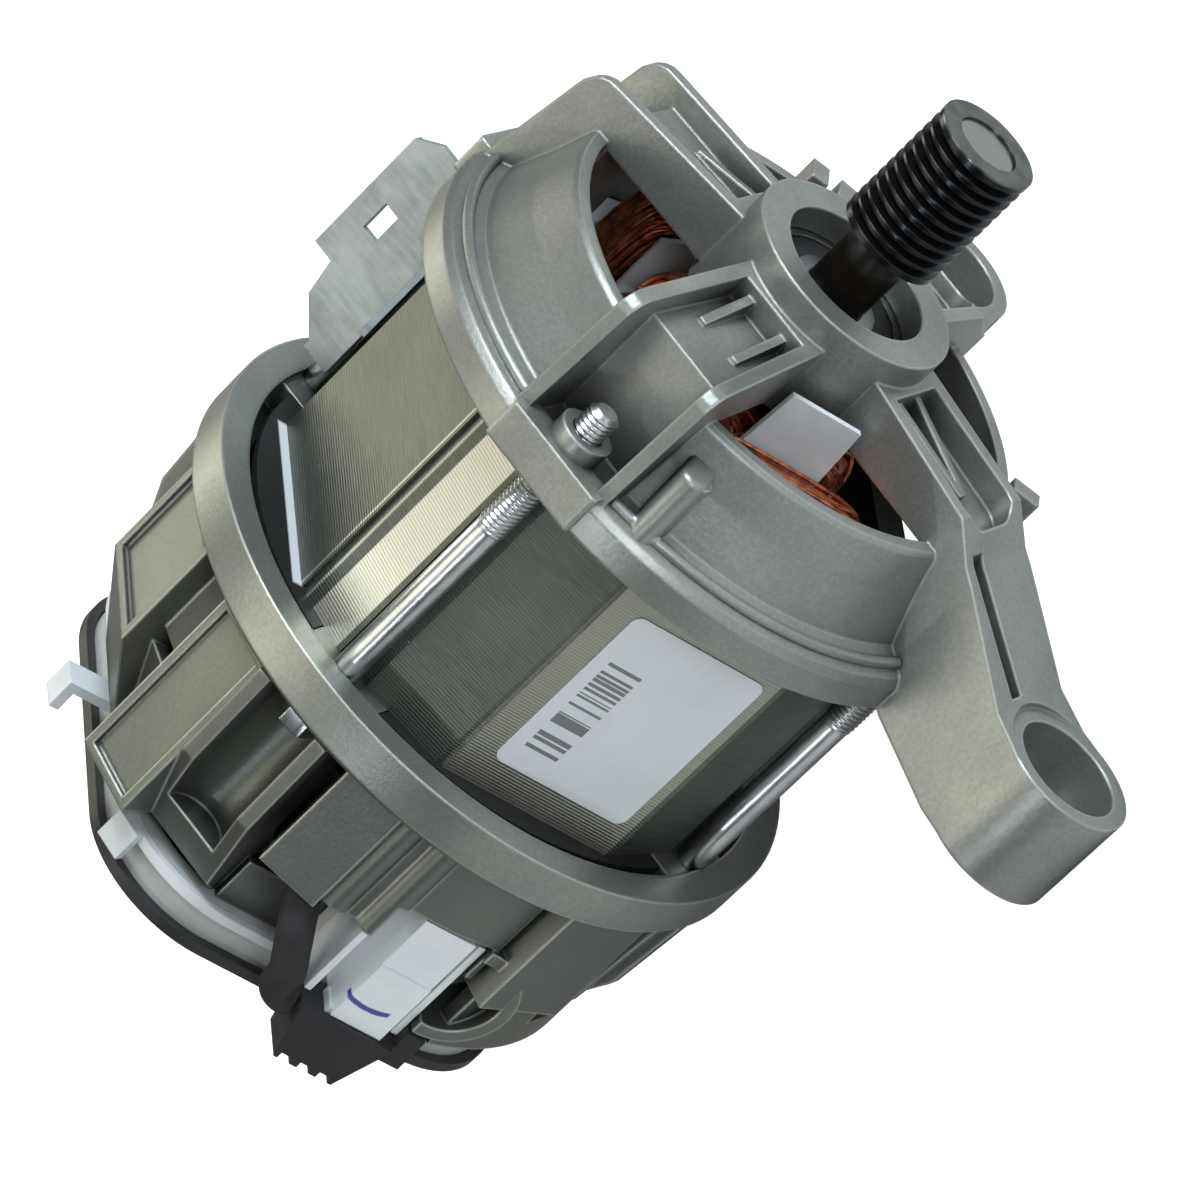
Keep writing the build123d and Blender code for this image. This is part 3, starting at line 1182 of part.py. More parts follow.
def make_wave_washer():
    """Spring washer between the lip of the rear hub and the rear bearing."""
    front = REAR_SEAT_X - FACE_GAP
    outer = REAR_BEARING_RADIUS - SEAT_GAP
    return tube(front - WASHER_THICKNESS, front, outer, outer - RACE_THICKNESS / 2)


def armature_slot(mouth, width, depth):
    """Cut of one armature slot at phi zero."""
    low = ARMATURE_REAR_X - CUT_OVERRUN
    high = ARMATURE_FRONT_X + CUT_OVERRUN
    tip = ARMATURE_RADIUS - ARMATURE_TIP
    pocket = panel((low, high), (ARMATURE_RADIUS - depth, tip), (-width / 2, width / 2))
    opening = panel((low, high), (tip - FACE_GAP, ARMATURE_RADIUS + CUT_OVERRUN),
                    (-mouth / 2, mouth / 2))
    return pocket + opening


def make_armature_core():
    """Slotted stack of laminations on the shaft."""
    core = rod(ARMATURE_REAR_X, ARMATURE_FRONT_X, ARMATURE_RADIUS)
    core = core - rod(ARMATURE_REAR_X - CUT_OVERRUN, ARMATURE_FRONT_X + CUT_OVERRUN,
                      SHAFT_CORE_RADIUS + SLIP_GAP)
    slot = armature_slot(ARMATURE_SLOT_MOUTH, ARMATURE_SLOT_WIDTH, ARMATURE_SLOT_DEPTH)
    for index in range(ARMATURE_SLOTS):
        core = core - turned(slot, 360 * index / ARMATURE_SLOTS)
    return core


def winding_end(x_core, direction, length):
    """Rounded bundle of wire over one end of the armature."""
    near = x_core + direction * SEAT_GAP
    far = x_core + direction * length
    inner = SHAFT_CORE_RADIUS + 2 * SEAT_GAP
    bend = direction * WINDING_ROUND
    points = [(near, inner), (near, WINDING_RADIUS - SEAT_GAP)]
    points += [(near + bend / 2, WINDING_RADIUS), (far - bend, WINDING_RADIUS)]
    points += [(far - bend / 3, WINDING_RADIUS - WINDING_ROUND / 3)]
    points += [(far, WINDING_RADIUS - WINDING_ROUND)]
    points += [(far, inner + WINDING_ROUND), (far - bend / 3, inner + WINDING_ROUND / 3)]
    points += [(far - bend, inner)]
    return lathe(points)


def make_armature_winding():
    """Copper winding: a bundle at each end joined by the bars that lie in the slots."""
    winding = winding_end(ARMATURE_FRONT_X, 1, FRONT_WINDING_LENGTH)
    winding = winding + winding_end(ARMATURE_REAR_X, -1, REAR_WINDING_LENGTH)
    half = ARMATURE_SLOT_WIDTH / 2 - SEAT_GAP
    bar = panel((ARMATURE_REAR_X - 2 * SEAT_GAP, ARMATURE_FRONT_X + 2 * SEAT_GAP),
                (ARMATURE_RADIUS - ARMATURE_SLOT_DEPTH + SEAT_GAP,
                 WINDING_RADIUS - SEAT_GAP), (-half, half))
    for index in range(ARMATURE_SLOTS):
        winding = winding + turned(bar, 360 * index / ARMATURE_SLOTS)
    return winding


def make_commutator_hub():
    """Moulded body that carries the commutator bars."""
    outer = COMMUTATOR_RADIUS - BAR_DEPTH
    return tube(COMMUTATOR_REAR_X - BAR_SLOT, COMMUTATOR_FRONT_X + BAR_SLOT, outer,
                SHAFT_CORE_RADIUS + SLIP_GAP)


def make_commutator_bars():
    """Ring of copper bars with raised ends at the winding."""
    inner = COMMUTATOR_RADIUS - BAR_DEPTH + SLIP_GAP
    ring = tube(COMMUTATOR_REAR_X, COMMUTATOR_FRONT_X, COMMUTATOR_RADIUS, inner)
    riser = COMMUTATOR_RADIUS + BAR_DEPTH / 2
    ring = ring + tube(COMMUTATOR_FRONT_X - BAR_DEPTH / 2, COMMUTATOR_FRONT_X, riser, inner)
    cut = panel((COMMUTATOR_REAR_X - CUT_OVERRUN, COMMUTATOR_FRONT_X + CUT_OVERRUN),
                (inner - CUT_OVERRUN, riser + CUT_OVERRUN), (-BAR_SLOT / 2, BAR_SLOT / 2))
    for index in range(COMMUTATOR_BARS):
        ring = ring - turned(cut, 360 * (index + 1 / 2) / COMMUTATOR_BARS)
    return group([ring])


def make_tacho_magnet():
    """Ring magnet on the tail of the shaft."""
    return tube(MAGNET_FRONT_X - MAGNET_LENGTH, MAGNET_FRONT_X, MAGNET_RADIUS,
                SHAFT_REAR_RADIUS + SLIP_GAP)


def make_rear_cover():
    """Shallow plastic cup over the speed sensor, square with rounded corners."""
    floor_x = COVER_REAR_X + COVER_WALL
    step_x = COVER_REAR_X + COVER_LIP
    lip_half = COVER_HALF_WIDTH - COVER_STEP
    lip_corner = COVER_CORNER - COVER_STEP
    cup = rounded_bar(step_x, COVER_FRONT_X, COVER_HALF_WIDTH, COVER_CORNER)
    cup = cup + rounded_bar(COVER_REAR_X, step_x + COVER_WALL, lip_half, lip_corner)
    cup = cup - rounded_bar(floor_x, COVER_FRONT_X + CUT_OVERRUN, lip_half - COVER_WALL,
                            lip_corner - COVER_WALL)
    seat = SENSOR_OUTER_RADIUS + SEAT_GAP
    cup = cup + tube(floor_x - COVER_WALL / 2, COVER_FRONT_X, seat + COLLAR_THICKNESS, seat)
    for phi in CORNER_ANGLES:
        y, z = polar(COVER_SCREW_REACH, phi)
        cup = cup + rod(floor_x - COVER_WALL / 2, COVER_FRONT_X, COVER_POST_RADIUS, y, z)
        cup = cup - rod(COVER_REAR_X - CUT_OVERRUN, COVER_FRONT_X + CUT_OVERRUN,
                        SCREW_RADIUS + FACE_GAP, y, z)
        cup = cup - rod(COVER_REAR_X - CUT_OVERRUN, COVER_REAR_X + SCREW_HEAD_HEIGHT + FACE_GAP,
                        SCREW_HEAD_RADIUS + SEAT_GAP, y, z)
    return cup


def make_cover_screws():
    """Screws that hold the rear cover on the spokes."""
    screws = []
    seat = COVER_REAR_X + SCREW_HEAD_HEIGHT
    for phi in CORNER_ANGLES:
        y, z = polar(COVER_SCREW_REACH, phi)
        screw = rod(COVER_REAR_X, seat, SCREW_HEAD_RADIUS, y, z)
        screws.append(screw + rod(COVER_REAR_X, seat + COVER_LENGTH + SCREW_HEAD_HEIGHT,
                                  SCREW_RADIUS, y, z))
    return group(screws)


def make_cover_ring():
    """Black ring clipped over the rear edge of the cover."""
    step_x = COVER_REAR_X + COVER_LIP
    rear = step_x - FACE_GAP - COVER_LIP / 2
    half = COVER_HALF_WIDTH + SEAT_GAP + COVER_RING_WALL
    corner = COVER_CORNER + SEAT_GAP + COVER_RING_WALL
    ring = rounded_tube(rear, rear + COVER_RING_LENGTH, half, corner, COVER_RING_WALL)
    return ring + rounded_tube(rear, step_x - FACE_GAP, half, corner,
                               COVER_RING_WALL + COVER_STEP)


def make_sensor_coil():
    """Ring coil that reads the magnet."""
    rear = COVER_REAR_X + COVER_WALL + FACE_GAP
    return tube(rear, rear + SENSOR_LENGTH, SENSOR_OUTER_RADIUS, SENSOR_INNER_RADIUS)


def make_wiring_ring():
    """White ring round the cover with snap tabs."""
    inner = COVER_HALF_WIDTH + SEAT_GAP
    corner = COVER_CORNER + SEAT_GAP
    rear = COVER_FRONT_X - SNAP_THICKNESS
    ring = rounded_tube(rear, COVER_FRONT_X, inner + SNAP_THICKNESS, corner + SNAP_THICKNESS,
                        SNAP_THICKNESS)
    half = SNAP_WIDTH / 2
    foot = panel((rear, COVER_FRONT_X), (inner, SNAP_REACH), (-half, half))
    finger = panel((COVER_FRONT_X - SNAP_LENGTH, COVER_FRONT_X),
                   (SNAP_REACH - SNAP_THICKNESS, SNAP_REACH), (-half, half))
    tabs = joined([turned(foot + finger, phi) for phi in SNAP_ANGLES])
    hole = rounded_bar(rear - SNAP_LENGTH, COVER_FRONT_X + CUT_OVERRUN, inner, corner)
    return ring + (tabs - hole)


def make_connector_housing():
    """Connector block with cavities open to the boot, two side plates and a hollow tail."""
    bottom = CONNECTOR_TOP_Z - CONNECTOR_HEIGHT
    inner_y = CONNECTOR_FACE_Y + CONNECTOR_DEPTH
    body = block((CONNECTOR_REAR_X, CONNECTOR_FRONT_X), (CONNECTOR_FACE_Y, inner_y),
                 (bottom, CONNECTOR_TOP_Z))
    body = body + block((CONNECTOR_REAR_X, CONNECTOR_REAR_X + CONNECTOR_PAD_LENGTH),
                        (CONNECTOR_FACE_Y - CONNECTOR_PAD, inner_y), (bottom, CONNECTOR_TOP_Z))
    plate_y = (inner_y - FLANGE_PLATE_DEPTH, inner_y)
    upper = CONNECTOR_TOP_Z + FLANGE_UPPER_GAP
    lower = bottom - FLANGE_LOWER_GAP
    span = (CONNECTOR_REAR_X + CONNECTOR_STEP, CONNECTOR_FRONT_X - CONNECTOR_STEP)
    body = body + block(span, plate_y, (upper, upper + FLANGE_PLATE))
    body = body + block(span, plate_y, (lower - FLANGE_PLATE, lower))
    body = body + block(span, (inner_y - FLANGE_PLATE, inner_y),
                        (lower - FLANGE_PLATE, upper + FLANGE_PLATE))
    room_y, room_z = boot_room(SEAT_GAP)[1:]
    body = body + block((CONNECTOR_REAR_X - TAIL_LENGTH, CONNECTOR_REAR_X + CONNECTOR_STEP),
                        room_y, room_z)
    for index in range(PIN_COUNT):
        body = body - block((CONNECTOR_REAR_X - TAIL_LENGTH - CUT_OVERRUN,
                             CONNECTOR_REAR_X + CELL_DEPTH), cell_width(), pin_cell(index))
    return body


def cell_width():
    """Low and high Y of the connector cavities."""
    room_y = boot_room(SEAT_GAP)[1]
    return room_y[0] + CELL_WALL, room_y[1] - CELL_WALL


def pin_cell(index):
    """Low and high Z of one connector cavity."""
    room_z = boot_room(SEAT_GAP)[2]
    bottom = room_z[0] + CELL_WALL
    pitch = (CONNECTOR_TOP_Z - CONNECTOR_WALL + CELL_WALL - bottom) / PIN_COUNT
    low = bottom + index * pitch
    return low, low + pitch - CELL_WALL


def boot_room(gap):
    """Inside of the boot as pairs of coordinates, drawn in by a gap."""
    rear = CONNECTOR_REAR_X - SEAT_GAP - BOOT_LENGTH
    outer_y = CONNECTOR_FACE_Y - BOOT_PROUD
    return ((rear + BOOT_WALL + gap, CONNECTOR_REAR_X),
            (outer_y + BOOT_WALL + gap, outer_y + BOOT_DEPTH - BOOT_WALL - gap),
            (BOOT_REAR_BOTTOM_Z + BOOT_WALL + gap, BOOT_REAR_TOP_Z - BOOT_WALL - gap))


def make_connector_boot():
    """Black rubber boot on the tail of the connector, narrower and toothed at its rear."""
    x, y, z = boot_room(0)
    low_y = y[0] - BOOT_WALL
    high_y = y[1] + BOOT_WALL
    front = CONNECTOR_REAR_X - SEAT_GAP
    rear = front - BOOT_LENGTH
    outline = [(front, BOOT_FRONT_BOTTOM_Z), (front, BOOT_FRONT_TOP_Z)]
    outline += [(rear, BOOT_REAR_TOP_Z), (rear, BOOT_REAR_BOTTOM_Z)]
    shell = upright(outline, low_y, high_y)
    plate_z = CONNECTOR_TOP_Z - CONNECTOR_HEIGHT - FLANGE_LOWER_GAP - FLANGE_PLATE - SEAT_GAP
    ear_z = plate_z - BOOT_EAR_HEIGHT
    shell = shell + block((front - BOOT_EAR_LENGTH / 2, front),
                          (low_y + BOOT_WALL, high_y), (ear_z, BOOT_FRONT_BOTTOM_Z + BOOT_WALL))
    shell = shell + block((front - BOOT_EAR_LENGTH / 2, front + BOOT_EAR_LENGTH / 2),
                          (low_y + BOOT_WALL, high_y), (ear_z, plate_z))
    shell = shell - block((x[0], front + CUT_OVERRUN), y, z)
    pitch = (BOOT_REAR_TOP_Z - BOOT_REAR_BOTTOM_Z) / BOOT_TOOTH_COUNT
    for index in range(BOOT_TOOTH_COUNT):
        low = BOOT_REAR_BOTTOM_Z + (index + 1 / 2) * pitch - BOOT_TOOTH / 2
        notch = block((rear - CUT_OVERRUN, rear + BOOT_WALL - SEAT_GAP),
                      (low_y - CUT_OVERRUN, high_y + CUT_OVERRUN), (low, low + BOOT_TOOTH))
        shell = shell - notch
    return shell


def make_connector_pins():
    """Flat pins that lie along the connector cavities."""
    low_y, high_y = cell_width()
    front = CONNECTOR_REAR_X + CELL_DEPTH - FACE_GAP
    pins = []
    for index in range(PIN_COUNT):
        low, high = pin_cell(index)
        centre = (low + high) / 2
        pins.append(block((front - PIN_LENGTH, front), (low_y + SEAT_GAP, high_y - SEAT_GAP),
                          (centre - PIN_THICKNESS / 2, centre + PIN_THICKNESS / 2)))
    return group(pins)


def make_connector_holder():
    """Plastic plate that carries the connector on the rear shield."""
    bottom = CONNECTOR_TOP_Z - CONNECTOR_HEIGHT
    outer = CONNECTOR_FACE_Y + CONNECTOR_DEPTH + FACE_GAP
    return block((CONNECTOR_REAR_X, CONNECTOR_FRONT_X),
                 (outer, -WEB_OUTER_REACH - SEAT_GAP),
                 (bottom - FLANGE_LOWER_GAP - FLANGE_PLATE,
                  CONNECTOR_TOP_Z + FLANGE_UPPER_GAP + FLANGE_PLATE))


def make_lead_sleeve():
    """Sleeve over the leads, from the label side coil out of the shield and to the boot."""
    coil_rear = STACK_REAR_X - COIL_END_LENGTH
    start_y = -(SLOT_INNER_Y + SLOT_OUTER_Y) / 2
    boot_y = boot_room(0)[1]
    end_x = CONNECTOR_REAR_X - SEAT_GAP - BOOT_LENGTH * SLEEVE_END_SHARE
    end_y = (boot_y[0] + boot_y[1]) / 2
    points = [(coil_rear - 2 * SEAT_GAP, start_y, COIL_HALF_HEIGHT - SLEEVE_RADIUS)]
    points += list(SLEEVE_ROUTE)
    points += [(end_x, end_y, BOOT_FRONT_TOP_Z + SLEEVE_BEND)]
    points += [(end_x - SLIP_GAP, end_y, BOOT_FRONT_TOP_Z + SEAT_GAP)]
    return swept_tube(bent_line(points, SLEEVE_BEND), SLEEVE_RADIUS)


def make_earth_bracket():
    """Bent sheet bracket standing on a corner of the stack, with a window and a hemmed edge."""
    foot_high = BRACKET_FOOT_REACH
    foot_low = foot_high - BRACKET_THICKNESS
    near = foot_high - BRACKET_THICKNESS / 2
    step_x = (BRACKET_WINDOW_X + BRACKET_REAR_X) / 2 + BRACKET_HEM
    shoulder = BRACKET_TOP_REACH - BRACKET_WINDOW_HEIGHT - BRACKET_HEM
    side = [(BRACKET_FRONT_X, near), (BRACKET_FRONT_X, shoulder)]
    side += [(BRACKET_FRONT_X - BRACKET_WINDOW_HEIGHT, BRACKET_TOP_REACH)]
    side += [(step_x, BRACKET_TOP_REACH), (step_x, shoulder)]
    side += [((step_x + BRACKET_REAR_X) / 2, shoulder - BRACKET_HEM)]
    side += [(BRACKET_REAR_X, shoulder - BRACKET_FOOT_WIDTH), (BRACKET_REAR_X, near)]
    high = -BRACKET_OFFSET
    low = high - BRACKET_THICKNESS
    sheet = slab(side, low, high)
    hem = slab([(BRACKET_FRONT_X - BRACKET_WINDOW_HEIGHT, BRACKET_TOP_REACH - BRACKET_HEM),
                (BRACKET_FRONT_X - BRACKET_WINDOW_HEIGHT, BRACKET_TOP_REACH),
                (step_x, BRACKET_TOP_REACH), (step_x, BRACKET_TOP_REACH - BRACKET_HEM)],
               low, high + BRACKET_HEM)
    window_reach = BRACKET_TOP_REACH - BRACKET_HEM - BRACKET_WINDOW_HEIGHT
    window = panel((BRACKET_WINDOW_X - BRACKET_WINDOW_LENGTH / 2,
                    BRACKET_WINDOW_X + BRACKET_WINDOW_LENGTH / 2),
                   (window_reach - BRACKET_WINDOW_HEIGHT, window_reach),
                   (low - CUT_OVERRUN, high + CUT_OVERRUN))
    hook = panel((BRACKET_REAR_X, BRACKET_REAR_X + BRACKET_FOOT_WIDTH),
                 (BOLT_CIRCLE_RADIUS + BOLT_RADIUS + SEAT_GAP,
                  BOLT_CIRCLE_RADIUS + BOLT_RADIUS + SEAT_GAP + BRACKET_THICKNESS),
                 (low, BOLT_RADIUS + BRACKET_THICKNESS))
    stand = turned(sheet + hem + hook - window, BRACKET_ANGLE)
    foot = panel((BRACKET_FRONT_X - BRACKET_HEM, step_x), (foot_low, foot_high),
                 (-BRACKET_FOOT_WIDTH / 2, BRACKET_FOOT_WIDTH / 2))
    return stand + turned(foot, BRACKET_FOOT_ANGLE)


def make_rating_label():
    """Bare paper label on the flat of the stack."""
    inner = -(STACK_HALF_WIDTH + SLIP_GAP)
    sheet = block((LABEL_REAR_X, LABEL_FRONT_X), (inner - LABEL_THICKNESS, inner),
                  (LABEL_BOTTOM_Z, LABEL_TOP_Z))
    return fillet(sheet.edges().filter_by(Axis.Y), LABEL_CORNER)


def all_nodes():
    """Every sub-part by name, in the frame of the shaft."""
    front = bearing_pieces(FRONT_BEARING_X, FRONT_BEARING_WIDTH, FRONT_BEARING_RADIUS,
                           SHAFT_RADIUS)
    rear = bearing_pieces(REAR_BEARING_X, REAR_BEARING_WIDTH, REAR_BEARING_RADIUS,
                          SHAFT_REAR_RADIUS)
    coil = make_field_coil()
    front_insulator = make_front_insulator()
    holder = make_brush_holder()
    guide = make_brush_guide()
    brush = make_brush()
    spring = make_brush_spring()
    nodes = {
        "front_shield": make_front_shield(),
        "rear_shield": make_rear_shield(),
        "stator_core": make_stator_core(),
        "field_coil_near": coil,
        "field_coil_far": turned(coil, 180),
        "front_insulator_near": front_insulator,
        "front_insulator_far": turned(front_insulator, 180),
        "rear_insulator": make_insulator(STACK_REAR_X, -1, REAR_INSULATOR_RADIUS,
                                         PAD_INNER_REACH, PAD_HALF_WIDTH,
                                         INSULATOR_FLANGE_HEIGHT),
        "through_bolts": make_through_bolts(),
        "bearing_clip": make_bearing_clip(),
        "wave_washer": make_wave_washer(),
        "brush_holder_screws": make_holder_screws(),
        "brush_terminals": make_brush_terminals(),
        "shaft": make_shaft(),
        "belt_pulley": make_pulley(),
        "armature_core": make_armature_core(),
        "armature_winding": make_armature_winding(),
        "commutator_hub": make_commutator_hub(),
        "commutator_bars": make_commutator_bars(),
        "tacho_magnet": make_tacho_magnet(),
        "rear_cover": make_rear_cover(),
        "cover_screws": make_cover_screws(),
        "cover_ring": make_cover_ring(),
        "sensor_coil": make_sensor_coil(),
        "wiring_ring": make_wiring_ring(),
        "connector_housing": make_connector_housing(),
        "connector_boot": make_connector_boot(),
        "connector_pins": make_connector_pins(),
        "connector_holder": make_connector_holder(),
        "lead_sleeve": make_lead_sleeve(),
        "earth_bracket": make_earth_bracket(),
        "rating_label": make_rating_label(),
    }
    for end, pieces in (("front", front), ("rear", rear)):
        for name, piece in zip(("outer", "balls", "seals", "inner"), pieces):
            nodes[end + "_bearing_" + name] = piece
    for side, phi in (("upper", 90), ("lower", -90)):
        nodes["brush_holder_" + side] = turned(holder, phi)
        nodes["brush_guide_" + side] = turned(guide, phi)
        nodes["brush_" + side] = turned(brush, phi)
        nodes["brush_spring_" + side] = turned(spring, phi)
    return nodes


for node, shape in all_nodes().items():
    placed = group([TO_EYES * solid for solid in shape.solids()])
    placed.label = node
    export_step(placed, os.path.join("parts", node + ".step"))
    print(node, len(placed.solids()), round(placed.volume))
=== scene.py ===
"""Looks of the washing machine motor: finishes, wires, threads, light and camera.

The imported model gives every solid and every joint. This file dresses those solids, winds the
copper that shows through the windows, cuts the threads of the bolts, adds the cast details of
the front shield, and sets the stage. Lengths are in metres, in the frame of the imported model.
Phi is the angle about the shaft from the label's side towards the top.
"""

import json
import logging
import math
from dataclasses import dataclass
from enum import Enum
from typing import Sequence, Union

import bmesh
import bpy
import numpy as np
from mathutils import Matrix, Vector


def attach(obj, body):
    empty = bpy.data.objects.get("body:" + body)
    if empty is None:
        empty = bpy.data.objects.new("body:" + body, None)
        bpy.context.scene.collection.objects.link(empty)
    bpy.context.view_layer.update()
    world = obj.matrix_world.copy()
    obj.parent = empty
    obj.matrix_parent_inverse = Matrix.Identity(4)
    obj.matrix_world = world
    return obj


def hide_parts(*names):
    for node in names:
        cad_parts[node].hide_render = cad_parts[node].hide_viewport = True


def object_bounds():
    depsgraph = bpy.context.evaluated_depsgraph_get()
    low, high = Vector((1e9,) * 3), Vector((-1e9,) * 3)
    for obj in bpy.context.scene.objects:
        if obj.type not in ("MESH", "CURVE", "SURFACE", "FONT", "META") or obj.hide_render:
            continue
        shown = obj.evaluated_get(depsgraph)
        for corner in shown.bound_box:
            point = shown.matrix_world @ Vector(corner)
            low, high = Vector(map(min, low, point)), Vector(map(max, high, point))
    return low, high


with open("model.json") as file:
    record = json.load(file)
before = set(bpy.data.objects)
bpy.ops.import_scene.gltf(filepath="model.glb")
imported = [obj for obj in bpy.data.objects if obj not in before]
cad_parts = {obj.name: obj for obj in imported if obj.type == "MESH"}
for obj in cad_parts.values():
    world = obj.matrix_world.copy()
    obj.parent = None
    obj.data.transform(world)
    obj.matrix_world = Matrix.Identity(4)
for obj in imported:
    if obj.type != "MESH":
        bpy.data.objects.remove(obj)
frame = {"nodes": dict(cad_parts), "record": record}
cad_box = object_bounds()

LOG = logging.getLogger("scene")
MM = 0.001
AXIS_Y = -0.85 * MM
AXIS_Z = 57.25 * MM
WELD = 0.0001 * MM
FULL_TURN = 2.0 * math.pi
Triple = tuple[float, float, float]
Colour = Triple
Span = tuple[float, float]
Amount = Union[float, "Sock"]
Values = Union[float, np.ndarray]
Shape = tuple[np.ndarray, np.ndarray]


@dataclass(frozen=True)
class Sock:
    """One output of a shader node, with arithmetic that adds maths nodes."""

    graph: "Graph"
    out: bpy.types.NodeSocket

    def maths(self, operation: str, other: Amount = 0.0, swapped: bool = False) -> "Sock":
        """Apply a maths operation to this and another value, which comes first if swapped."""
        pair = (other, self) if swapped else (self, other)
        return self.graph.node("ShaderNodeMath", {0: pair[0], 1: pair[1]}, operation=operation)

    def __add__(self, other: Amount) -> "Sock":
        """Sum."""
        return self.maths("ADD", other)

    def __radd__(self, other: Amount) -> "Sock":
        """Sum with a number first."""
        return self.maths("ADD", other)

    def __sub__(self, other: Amount) -> "Sock":
        """Difference."""
        return self.maths("SUBTRACT", other)

    def __rsub__(self, other: Amount) -> "Sock":
        """Difference with a number first."""
        return self.maths("SUBTRACT", other, True)

    def __mul__(self, other: Amount) -> "Sock":
        """Product."""
        return self.maths("MULTIPLY", other)

    def __rmul__(self, other: Amount) -> "Sock":
        """Product with a number first."""
        return self.maths("MULTIPLY", other)

    def __abs__(self) -> "Sock":
        """Size without the sign."""
        return self.maths("ABSOLUTE")

    def above(self, limit: float) -> "Sock":
        """One where the value is over the limit, else zero."""
        return self.maths("GREATER_THAN", limit)

    def below(self, limit: float) -> "Sock":
        """One where the value is under the limit, else zero."""
        return self.maths("LESS_THAN", limit)

    def ramp(self, low: float, high: float, start: float = 0.0, end: float = 1.0,
             kind: str = "SMOOTHSTEP") -> "Sock":
        """Step from one value to another.

        Args:
            low: Input at which the step starts.
            high: Input at which the step ends.
            start: Value up to low.
            end: Value from high on.
            kind: SMOOTHSTEP for soft ends, LINEAR for an even slope.

        Returns:
            The socket of the stepped value.
        """
        return self.graph.node("ShaderNodeMapRange",
                               {"Value": self, "From Min": low, "From Max": high,
                                "To Min": start, "To Max": end},
                               interpolation_type=kind, clamp=True)

    def within(self, low: float, high: float, soft: float) -> "Sock":
        """One from low to high, with soft sides just inside low and just past high."""
        return self.ramp(low, low + soft) * self.ramp(high, high + soft, 1.0, 0.0)

    def between(self, span: Span) -> "Sock":
        """Value between the ends of a span, for a share from 0 to 1."""
        return self * (span[1] - span[0]) + span[0]


@dataclass(frozen=True)
class Blotch:
    """Noise pattern: size of a blotch in metres, octaves, and its stretch along each axis."""

    size: float
    detail: float
    stretch: Triple = (1.0, 1.0, 1.0)


class Graph:
    """Node tree of a material or of the world, with short ways to the nodes used here."""

    edge_range: Span = (0.01, 0.12)
    ray_count: int = 6
    noise_rough: float = 0.55

    def __init__(self, owner: Union[bpy.types.Material, bpy.types.World], last: str,
                 coords: str) -> None:
        """Open the tree.

        Args:
            owner: Material or world that holds the tree.
            last: Type of the node that takes the finished values.
            coords: Which texture coordinates the patterns follow.
        """
        owner.use_nodes = True
        self.tree = owner.node_tree
        self.last = next(node for node in self.tree.nodes if node.type == last)
        self.coords = self.node("ShaderNodeTexCoord", {}, coords)

    def node(self, kind: str, inputs: dict, output: Union[int, str] = 0, **settings) -> Sock:
        """Add a node.

        Args:
            kind: Type name of the node.
            inputs: Values or sockets by input name or number.
            output: Name or number of the output wanted.
            **settings: Properties set on the node before its inputs.

        Returns:
            The socket of that output.
        """
        node = self.tree.nodes.new(kind)
        for key, value in settings.items():
            setattr(node, key, value)
        for key, value in inputs.items():
            self.feed(node.inputs[key], value)
        return Sock(self, node.outputs[output])

    def feed(self, target: bpy.types.NodeSocket, value: object) -> None:
        """Link a socket to an input, or set a plain value on it.

        Args:
            target: Input to feed.
            value: Socket, number, colour or vector.
        """
        if isinstance(value, Sock):
            self.tree.links.new(value.out, target)
        elif target.type == "RGBA":
            target.default_value = (*value, 1.0)
        else:
            target.default_value = value

    def set(self, **values: object) -> None:
        """Feed inputs of the last node, with _ for a space in their names."""
        for key, value in values.items():
            self.feed(self.last.inputs[key.replace("_", " ")], value)

    def axis(self, name: str) -> Sock:
        """The X, Y or Z coordinate."""
        return self.node("ShaderNodeSeparateXYZ", {0: self.coords}, name)

    def noise(self, blotch: Blotch) -> Sock:
        """Noise from 0 to 1.

        Args:
            blotch: Pattern of the noise.

        Returns:
            The socket of the noise value.
        """
        scale = Vector([1.0 / share for share in blotch.stretch])
        place = self.node("ShaderNodeMapping", {"Vector": self.coords, "Scale": scale})
        return self.node("ShaderNodeTexNoise", {"Vector": place, "Scale": 1.0 / blotch.size,
                                                "Detail": blotch.detail,
                                                "Roughness": self.noise_rough})

    def mix(self, share: Amount, first: object, second: object) -> Sock:
        """Blend two colours by a share from 0 to 1."""
        return self.node("ShaderNodeMix", {0: share, 6: first, 7: second}, 2, data_type="RGBA")

    def soft_normal(self, radius: float) -> Sock:
        """Normal with the edges rounded off."""
        return self.node("ShaderNodeBevel", {"Radius": radius}, samples=self.ray_count)

    def bump(self, height: Sock, depth: float, normal: Union[Sock, None] = None) -> Sock:
        """Turn a height from 0 to 1 into a normal.

        Args:
            height: Height of the skin.
            depth: Depth in metres that a height of 1 stands for.
            normal: Normal to start from, where edges are rounded.

        Returns:
            The socket of the normal.
        """
        inputs = {"Height": height, "Distance": depth, "Strength": 1.0}
        if normal is not None:
            inputs["Normal"] = normal
        return self.node("ShaderNodeBump", inputs)

    def edge(self, soft: Sock, span: Span = edge_range) -> Sock:
        """One on sharp edges, from how far the rounded normal leans away.

        Args:
            soft: Rounded normal.
            span: Lean at which an edge starts and is full.

        Returns:
            The socket of the mask.
        """
        true = self.node("ShaderNodeNewGeometry", {}, "True Normal")
        dot = self.node("ShaderNodeVectorMath", {0: soft, 1: true}, "Value",
                        operation="DOT_PRODUCT")
        return (1.0 - dot).ramp(*span)

    def hollow(self, reach: float, span: Span) -> Sock:
        """One deep inside corners and recesses, zero in the open.

        Args:
            reach: How far the rays look.
            span: Blocked share of the rays at which the mask starts and is full.

        Returns:
            The socket of the mask.
        """
        open_share = self.node("ShaderNodeAmbientOcclusion", {"Distance": reach}, "AO",
                               samples=self.ray_count)
        return (1.0 - open_share).ramp(*span)


